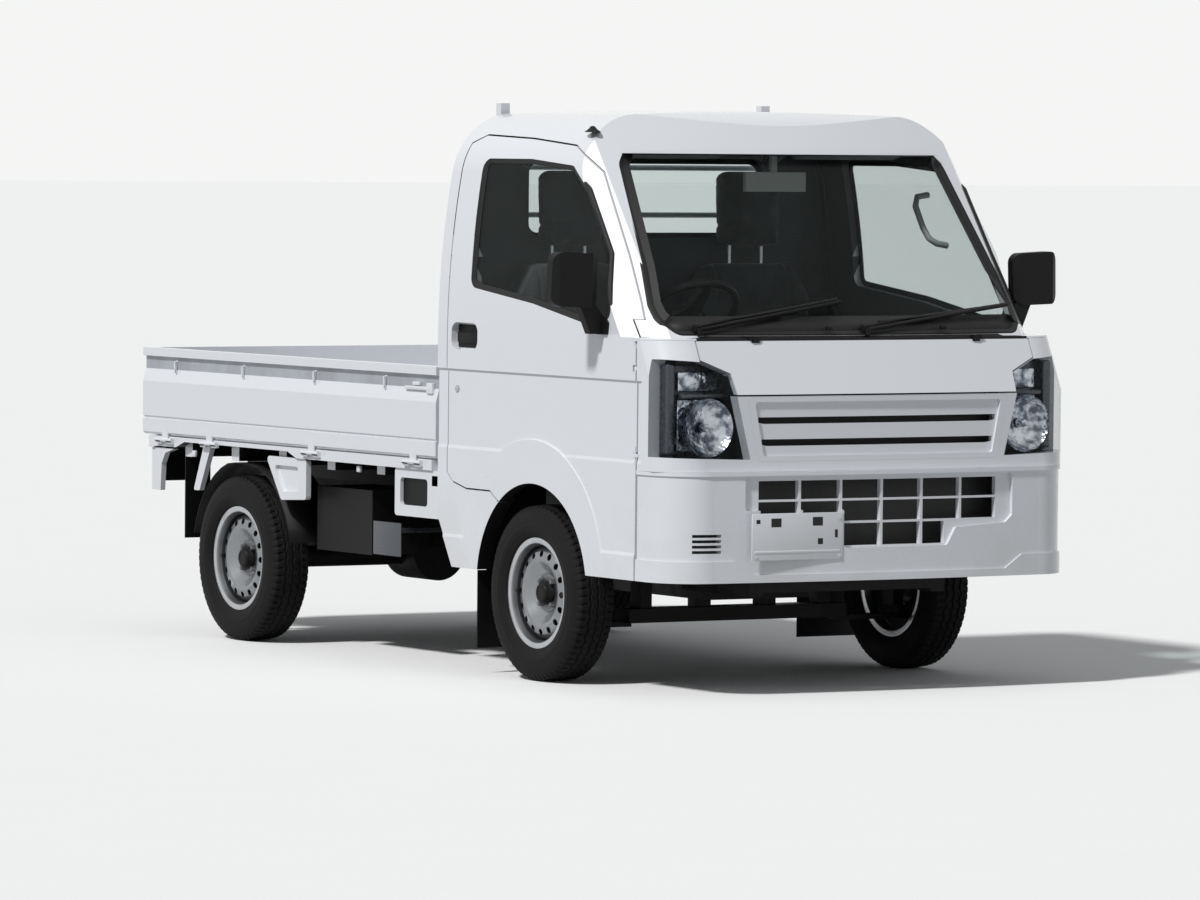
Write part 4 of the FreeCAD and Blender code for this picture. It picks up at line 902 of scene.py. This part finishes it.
for hand, side in HANDS:
    middle = (side * BOWL_ACROSS, BOWL_BACK, BOWL_HEIGHT)
    crisp(mesh_piece("lamp_bowl_" + hand, *shifted(facing_front(BOWL), middle), chrome, "truck"))
    crisp(mesh_piece("lamp_bulb_" + hand, *shifted(facing_front(BULB, 24), middle), chrome, "truck"))
    for piece, inner, outer, low, high, finish, edge in LAMP_BLOCKS:
        chamfered(f"{piece}_{hand}", [on_side(side, inner, outer, low, high)], finish, "truck", edge)

# ---- Grille and bumper backing ----
# The white grille has two long slots and the bumper a grid of openings. Behind both, and behind a
# small vent at the bumper's right end, dark striped blocks stand as painted shade in the openings. A
# bare white steel bracket for a number plate hangs on the bumper's right.
def opening_shade_look(wire):
    stripes = wire.node("ShaderNodeTexWave", {"bands_direction": "Z"}, {"Vector": place(wire), "Scale": 90})
    return {"Base Color": stripes.blend((0.006, 0.006, 0.007, 1), (0.020, 0.020, 0.021, 1)),
            "Roughness": 0.5 + stripes * 0.3}


# Painted shade: dark striped blocks behind the openings stand for the shade inside them.
opening_shade_dark = material("opening_shade_dark", {}, opening_shade_look)
chamfered("opening_shade_backing", [((-0.44, -1.606, 0.715), (0.44, -1.590, 0.885)),
                       ((-0.46, -1.590, 0.430), (0.46, -1.560, 0.660))], opening_shade_dark, "truck", 0.002)
chamfered("vent_shade_backing", [((-0.668, -1.520, 0.428), (-0.550, -1.512, 0.498))], opening_shade_dark,
          "truck", 0.001)
PLATE_FRONT = cad_box[0].y + 0.0045
PLATE_FOLD = ((-0.462, PLATE_FRONT - 0.0015, 0.432), (-0.157, PLATE_FRONT + 0.002, 0.440))
chamfered("plate_bracket", [((-0.472, PLATE_FRONT, 0.411), (-0.147, PLATE_FRONT + 0.004, 0.552)),
                            PLATE_FOLD], white_coat, "truck", 0.0016)
# middle x, middle z, half width, half height
PLATE_HOLES = ((-0.386, 0.524, 0.018, 0.013), (-0.238, 0.526, 0.018, 0.013),
               (-0.450, 0.528, 0.007, 0.006), (-0.228, 0.466, 0.009, 0.009),
               (-0.171, 0.488, 0.005, 0.012))
# Painted shade: the holes are thin black patches, for the dark seen through them.
holes = [((x - wide, PLATE_FRONT - 0.0004, z - high), (x + wide, PLATE_FRONT + 0.001, z + high))
         for x, z, wide, high in PLATE_HOLES]
chamfered("plate_bracket_holes", holes, black_rubber, "truck", 0.0003)
SCREW = [(0.0, 0.0065), (0.0022, 0.0062), (0.0036, 0.0045), (0.0040, 0.0005)]
screws = [shifted(facing_front(SCREW, 16), (x, PLATE_FRONT + 0.001, z))
          for x, z in ((-0.458, 0.422), (-0.161, 0.422), (-0.161, 0.536))]
crisp(mesh_piece("plate_bracket_screws", *joined(screws), wheel_silver, "truck"))

# ---- Cowl and wipers ----
# The black plastic cowl lies under the windscreen, with the lid's black hinge lugs in its edge. Each
# wiper has a pivot cap, an arm and a rubber blade along the glass, and two washer nozzles stand by.
finish_nodes(black_plastic, "cowl_panel", "wipers")
LID_EDGE = 1.0641
LUG_FROM = 1.055
LUG_REACH = 0.5


def lid_lug(spot, facing):
    """What stands over the lid's edge, and the lugs' fronts and sides just below it."""
    upright = max(abs(facing.x), -facing.y) > 0.985
    return spot.z > LID_EDGE or (spot.z > LUG_FROM and abs(spot.x) < LUG_REACH and upright)


face_finish("hood_lid", black_plastic, lid_lug)
SCREEN_FRONT = -1.565
SCREEN_BOW = 2.5


def on_screen(x, z, lift=0.0):
    """A spot on the windscreen's outer face; the glass leans back and its plan bows forward."""
    front = SCREEN_FRONT + (z - SCREEN_FOOT) * SCREEN_LEAN
    bow = SCREEN_BOW - math.sqrt(SCREEN_BOW ** 2 - min(abs(x), PILLAR_INNER) ** 2)
    return Vector((x, front + bow - lift, z + lift * 0.5))


ARM_FOOT = 1.096
ARM_LIFT = 0.014
BLADE_FOOT = 1.112
BLADE_LIFT = 0.011
BLADE_SHIFT = 0.06
for hand, foot_x, tip_x, tip_z in (("right", -0.551, -0.047, 1.180), ("left", 0.012, 0.638, 1.162)):
    foot = on_screen(foot_x, ARM_FOOT, ARM_LIFT)
    end = on_screen(tip_x, tip_z, ARM_LIFT)
    knee = foot.lerp(end, 0.25) + Vector((0, -0.004, 0.004))
    tube("wiper_arm_" + hand, [foot, knee, foot.lerp(end, 0.6)], 0.0045, black_plastic, "truck", 8)
    heel_x = foot_x + BLADE_SHIFT
    blade = [on_screen(heel_x + (tip_x - heel_x) * share, BLADE_FOOT + (tip_z - BLADE_FOOT) * share,
                       BLADE_LIFT) for share in (0, 0.25, 0.5, 0.75, 1)]
    tube("wiper_blade_" + hand, blade, 0.0055, black_rubber, "truck", 6)
    tube("wiper_pivot_" + hand, [foot + Vector((0, 0.004, -0.012)), foot + Vector((0, 0, 0.006))], 0.013,
         black_plastic, "truck", 16)
STRIP_STEPS = 24
STRIP_HALF = 0.625
points = [on_screen(STRIP_HALF * (2 * step / STRIP_STEPS - 1), z, 0.0008)
          for z in (1.082, 1.135) for step in range(STRIP_STEPS + 1)]
faces = [(step, step + 1, STRIP_STEPS + step + 2, STRIP_STEPS + step + 1) for step in range(STRIP_STEPS)]
strip = mesh_piece("windscreen_lower_border", points, faces, black_rubber, "truck")
film = strip.modifiers.new("Solidify", "SOLIDIFY")
film.thickness = 0.0004
for label, x in (("right", -0.122), ("left", 0.305)):
    nozzle = on_screen(x, 1.092, 0.018)
    corners = (nozzle - Vector((0.010, 0.008, 0.007)), nozzle + Vector((0.010, 0.008, 0.006)))
    chamfered("washer_nozzle_" + label, [corners], black_plastic, "truck", 0.004)

# ---- Doors ----
# Each door has a black pull handle in its recess with a key lock below and behind, and a black
# mirror on a short arm. A flat grey card lines its inner side.
finish_nodes(black_plastic, "door_mirror_right", "door_mirror_left")
# piece, inner x, outer x, low (y, z), high (y, z), finish, edge
DOOR_BLOCKS = (("handle_grip", 0.7195, 0.7275, (-0.508, 1.026), (-0.386, 1.058), black_plastic, 0.003),
               ("handle_cup", 0.7145, 0.7160, (-0.520, 1.010), (-0.374, 1.082), black_plastic, 0.0006),
               ("mirror_glass", 0.778, 0.905, (-1.2385, 1.178), (-1.2365, 1.306), mirror_glass, 0.001),
               ("door_card", 0.683, 0.690, (-1.28, 0.62), (-0.42, 0.98), grey_trim, 0.003))
LOCK = [(0.0, 0.0105), (0.0022, 0.0100), (0.0030, 0.0085), (0.0030, 0.0005)]
for hand, side in HANDS:
    body = "door_" + hand
    for piece, inner, outer, low, high, finish, edge in DOOR_BLOCKS:
        chamfered(f"{piece}_{hand}", [on_side(side, inner, outer, low, high)], finish, body, edge)
    barrel = spun(Vector((side * 0.7330, -0.398, 0.882)), 1, [(side * x, radius) for x, radius in LOCK], 24)
    crisp(mesh_piece("door_lock_" + hand, *barrel, wheel_silver, body))

# ---- Roof ----
# A short black antenna base stands at the roof's front corner, over the driver's screen pillar. It is
# a low moulded cone, longer from front to rear than it is wide.
ANTENNA = [(0.0, 0.020), (0.004, 0.019), (0.010, 0.013), (0.018, 0.008), (0.024, 0.0055), (0.026, 0.0005)]
ANTENNA_SPOT = Vector((-0.632, -1.023, 1.683))
ANTENNA_LONG = 1.7
ANTENNA_LOW = 0.75
points, faces = spun(Vector((0, 0, 0)), 1, ANTENNA, 24)
points = [Matrix.Rotation(math.radians(-90), 3, "Y") @ point for point in points]
points = [Vector((x, y * ANTENNA_LONG, z * ANTENNA_LOW)) + ANTENNA_SPOT for x, y, z in points]
crisp(mesh_piece("antenna_base", points, faces, black_plastic, "truck"))

# ---- Load bed fittings ----
# Four rope hooks sit in each side gate's sunk band and a lever latch closes its front end. Small
# painted blocks under the rail stop a dropped gate. The sunk band is darker grey, as painted shade.
def band_shade_look(wire):
    # Painted shade: a darker blue-grey in patches, for the shade under the sunk band's lip.
    mottle = noise(wire, 9, 4).rise(0.3, 0.7)
    return {"Base Color": mottle.blend((0.40, 0.425, 0.47, 1), (0.33, 0.345, 0.37, 1)),
            "Roughness": 0.32 + mottle * 0.2}


band_shade_coat = material("band_shade_coat", {"Coat Weight": 0.4}, band_shade_look)
BAND_LOW = 0.874
BAND_HIGH = 0.919


def side_band_shade(spot, facing):
    return BAND_LOW < spot.z < BAND_HIGH and abs(spot.x) > 0.712 and abs(facing.x) > 0.4


def tail_band_shade(spot, facing):
    return BAND_LOW < spot.z < BAND_HIGH and spot.y > 1.672 and facing.y > 0.4


face_finish("side_gate_right", band_shade_coat, side_band_shade)
face_finish("side_gate_left", band_shade_coat, side_band_shade)
face_finish("tailgate", band_shade_coat, tail_band_shade)
HOOKS = (1.461, 0.997, 0.523, 0.069)
HOOK_REACH = 0.0115
HOOK_BAR = 0.0038
GATE_FACE = 0.7150
TAIL_FACE = 1.675
TAIL_REACH = 1.6860
# low (y, z), high (y, z)
LATCH = (((-0.200, 0.868), (-0.062, 0.880)), ((-0.232, 0.858), (-0.196, 0.892)),
         ((-0.150, 0.882), (-0.110, 0.894)))
for hand, side in HANDS:
    body = "side_gate_" + hand
    face = side * GATE_FACE
    out = side * HOOK_REACH
    for index, y in enumerate(HOOKS):
        hook = [(face, y, 0.905), (face + out, y, 0.902), (face + out, y, 0.880),
                (face + out * 0.8, y, 0.868), (face, y, 0.864)]
        tube(f"rope_hook_{hand}_{index}", hook, HOOK_BAR, white_coat, body, 10)
    latch = [on_side(side, 0.7155, 0.7268, low, high) for low, high in LATCH]
    chamfered("gate_latch_" + hand, latch, white_coat, body, 0.002)
    for index, y in enumerate((1.36, 0.80, 0.26)):
        block = on_side(side, 0.6980, 0.7105, (y - 0.010, 0.590), (y + 0.010, 0.612))
        chamfered(f"gate_cushion_{hand}_{index}", [block], white_coat, "truck", 0.004)
for index, x in enumerate((-0.48, -0.16, 0.16, 0.48)):
    hook = [(x, TAIL_FACE, 0.905), (x, TAIL_REACH, 0.902), (x, TAIL_REACH, 0.880), (x, TAIL_FACE, 0.866)]
    tube(f"tail_hook_{index}", hook, HOOK_BAR, white_coat, "tailgate", 10)
for hand, side in HANDS:
    latch = on_side(side, 0.560, 0.668, (1.6752, 0.866), (1.6865, 0.880))
    chamfered("tail_latch_" + hand, [latch], white_coat, "tailgate", 0.002)

# ---- Under the bed ----
# Black sheet liners stand over the rear wheels. Black sheets beside the frame's rails, the bed's dark
# underside and the black faces in the brackets' windows are painted shade. The frame, the running gear
# and the exhaust are black painted steel with dust on them, and a grey stay holds the battery box.
finish_nodes(dark_metal, "chassis_frame", "engine_block", "propeller_shaft", "rear_axle",
             "front_suspension", "knuckle_left", "knuckle_right", "leaf_springs", "exhaust")
finish_nodes(black_plastic, "battery_box", "fuel_tank", "mud_flaps")


# Painted shade: the web in each bracket's window is black, for the dark seen through it.
def bracket_window_shade(spot, facing):
    return abs(abs(spot.x) - 0.703) < 0.001 and abs(facing.x) > 0.9 and -0.20 < spot.y < -0.01


face_finish("bed_brackets", black_plastic, bracket_window_shade)


# Painted shade: the bed's underside and sills take the dark metal finish, for the shade under the deck.
def under_deck_shade(spot, facing):
    return (spot.z < 0.652 and facing.z < -0.3) or (spot.z < 0.6385 and abs(spot.x) < 0.6895)


face_finish("bed_floor", dark_metal, under_deck_shade)
LINER_STEPS = 18
LINER_RADIUS = 0.335
LINER_FLAT = 0.96
LINER_TOP = 0.583
for hand, side in HANDS:
    # Painted shade: a thin black sheet beside each frame rail fills the see-through gaps under the deck.
    shade_sheet = on_side(side, 0.3520, 0.3560, (-0.200, 0.525), (1.600, 0.645))
    chamfered("frame_shade_sheet_" + hand, [shade_sheet], black_plastic, "truck", 0.001)
    near, far = sorted((side * 0.520, side * 0.690))
    points = []
    for step in range(LINER_STEPS + 1):
        angle = math.radians(12 + step * 156 / LINER_STEPS)
        y = REAR_AXLE - LINER_RADIUS * math.cos(angle)
        z = AXLE_HEIGHT + LINER_RADIUS * math.sin(angle) * LINER_FLAT
        points += [(near, y, min(z, LINER_TOP)), (far, y, min(z, LINER_TOP))]
    faces = [(2 * step, 2 * step + 1, 2 * step + 3, 2 * step + 2) for step in range(LINER_STEPS)]
    liner = mesh_piece("wheel_liner_" + hand, points, faces, black_plastic, "truck")
    thick = liner.modifiers.new("Solidify", "SOLIDIFY")
    thick.thickness = 0.003
    cap = on_side(side, 0.7080, 0.7150, (-0.262, 0.566), (-0.214, 0.604))
    chamfered("panel_cap_" + hand, [cap], black_plastic, "truck", 0.003)
chamfered("battery_stay", [((-0.6420, 0.100, 0.327), (-0.6380, 0.276, 0.434)),
                           ((-0.6400, 0.230, 0.395), (-0.3500, 0.250, 0.410)),
                           ((-0.3600, 0.230, 0.395), (-0.3400, 0.250, 0.435))], lamp_grey, "truck", 0.0015)

# ---- Rear lamps ----
# A plain lamp block hangs at each rear corner, with a red brake lens, an amber turn lens and a clear
# reversing lens in one moulding.
def lens_finish(name, colour, deep):
    def look(wire):
        rib = wire.node("ShaderNodeTexWave", {"bands_direction": "Z"}, {"Vector": place(wire), "Scale": 70})
        return {"Base Color": rib.blend(colour, deep), "Roughness": 0.12 + rib * 0.1,
                "Normal": bump(wire, rib, 0.4, 0.001)}
    return material(name, {"Coat Weight": 0.6}, look)


red_lens = lens_finish("red_lens", (0.33, 0.012, 0.012, 1), (0.50, 0.03, 0.03, 1))
amber_lens = lens_finish("amber_lens", (0.55, 0.16, 0.015, 1), (0.72, 0.27, 0.04, 1))
pale_lens = lens_finish("pale_lens", (0.55, 0.56, 0.57, 1), (0.72, 0.73, 0.74, 1))
finish_nodes(black_plastic, "rear_lamps")
# lens, inner x, outer x, finish
LENSES = (("red", 0.634, 0.690, red_lens), ("amber", 0.600, 0.632, amber_lens),
          ("clear", 0.566, 0.598, pale_lens))
for hand, side in HANDS:
    for label, inner, outer, finish in LENSES:
        lens = on_side(side, inner, outer, (1.6602, 0.508), (1.6680, 0.580))
        chamfered(f"rear_lens_{label}_{hand}", [lens], finish, "truck", 0.003)
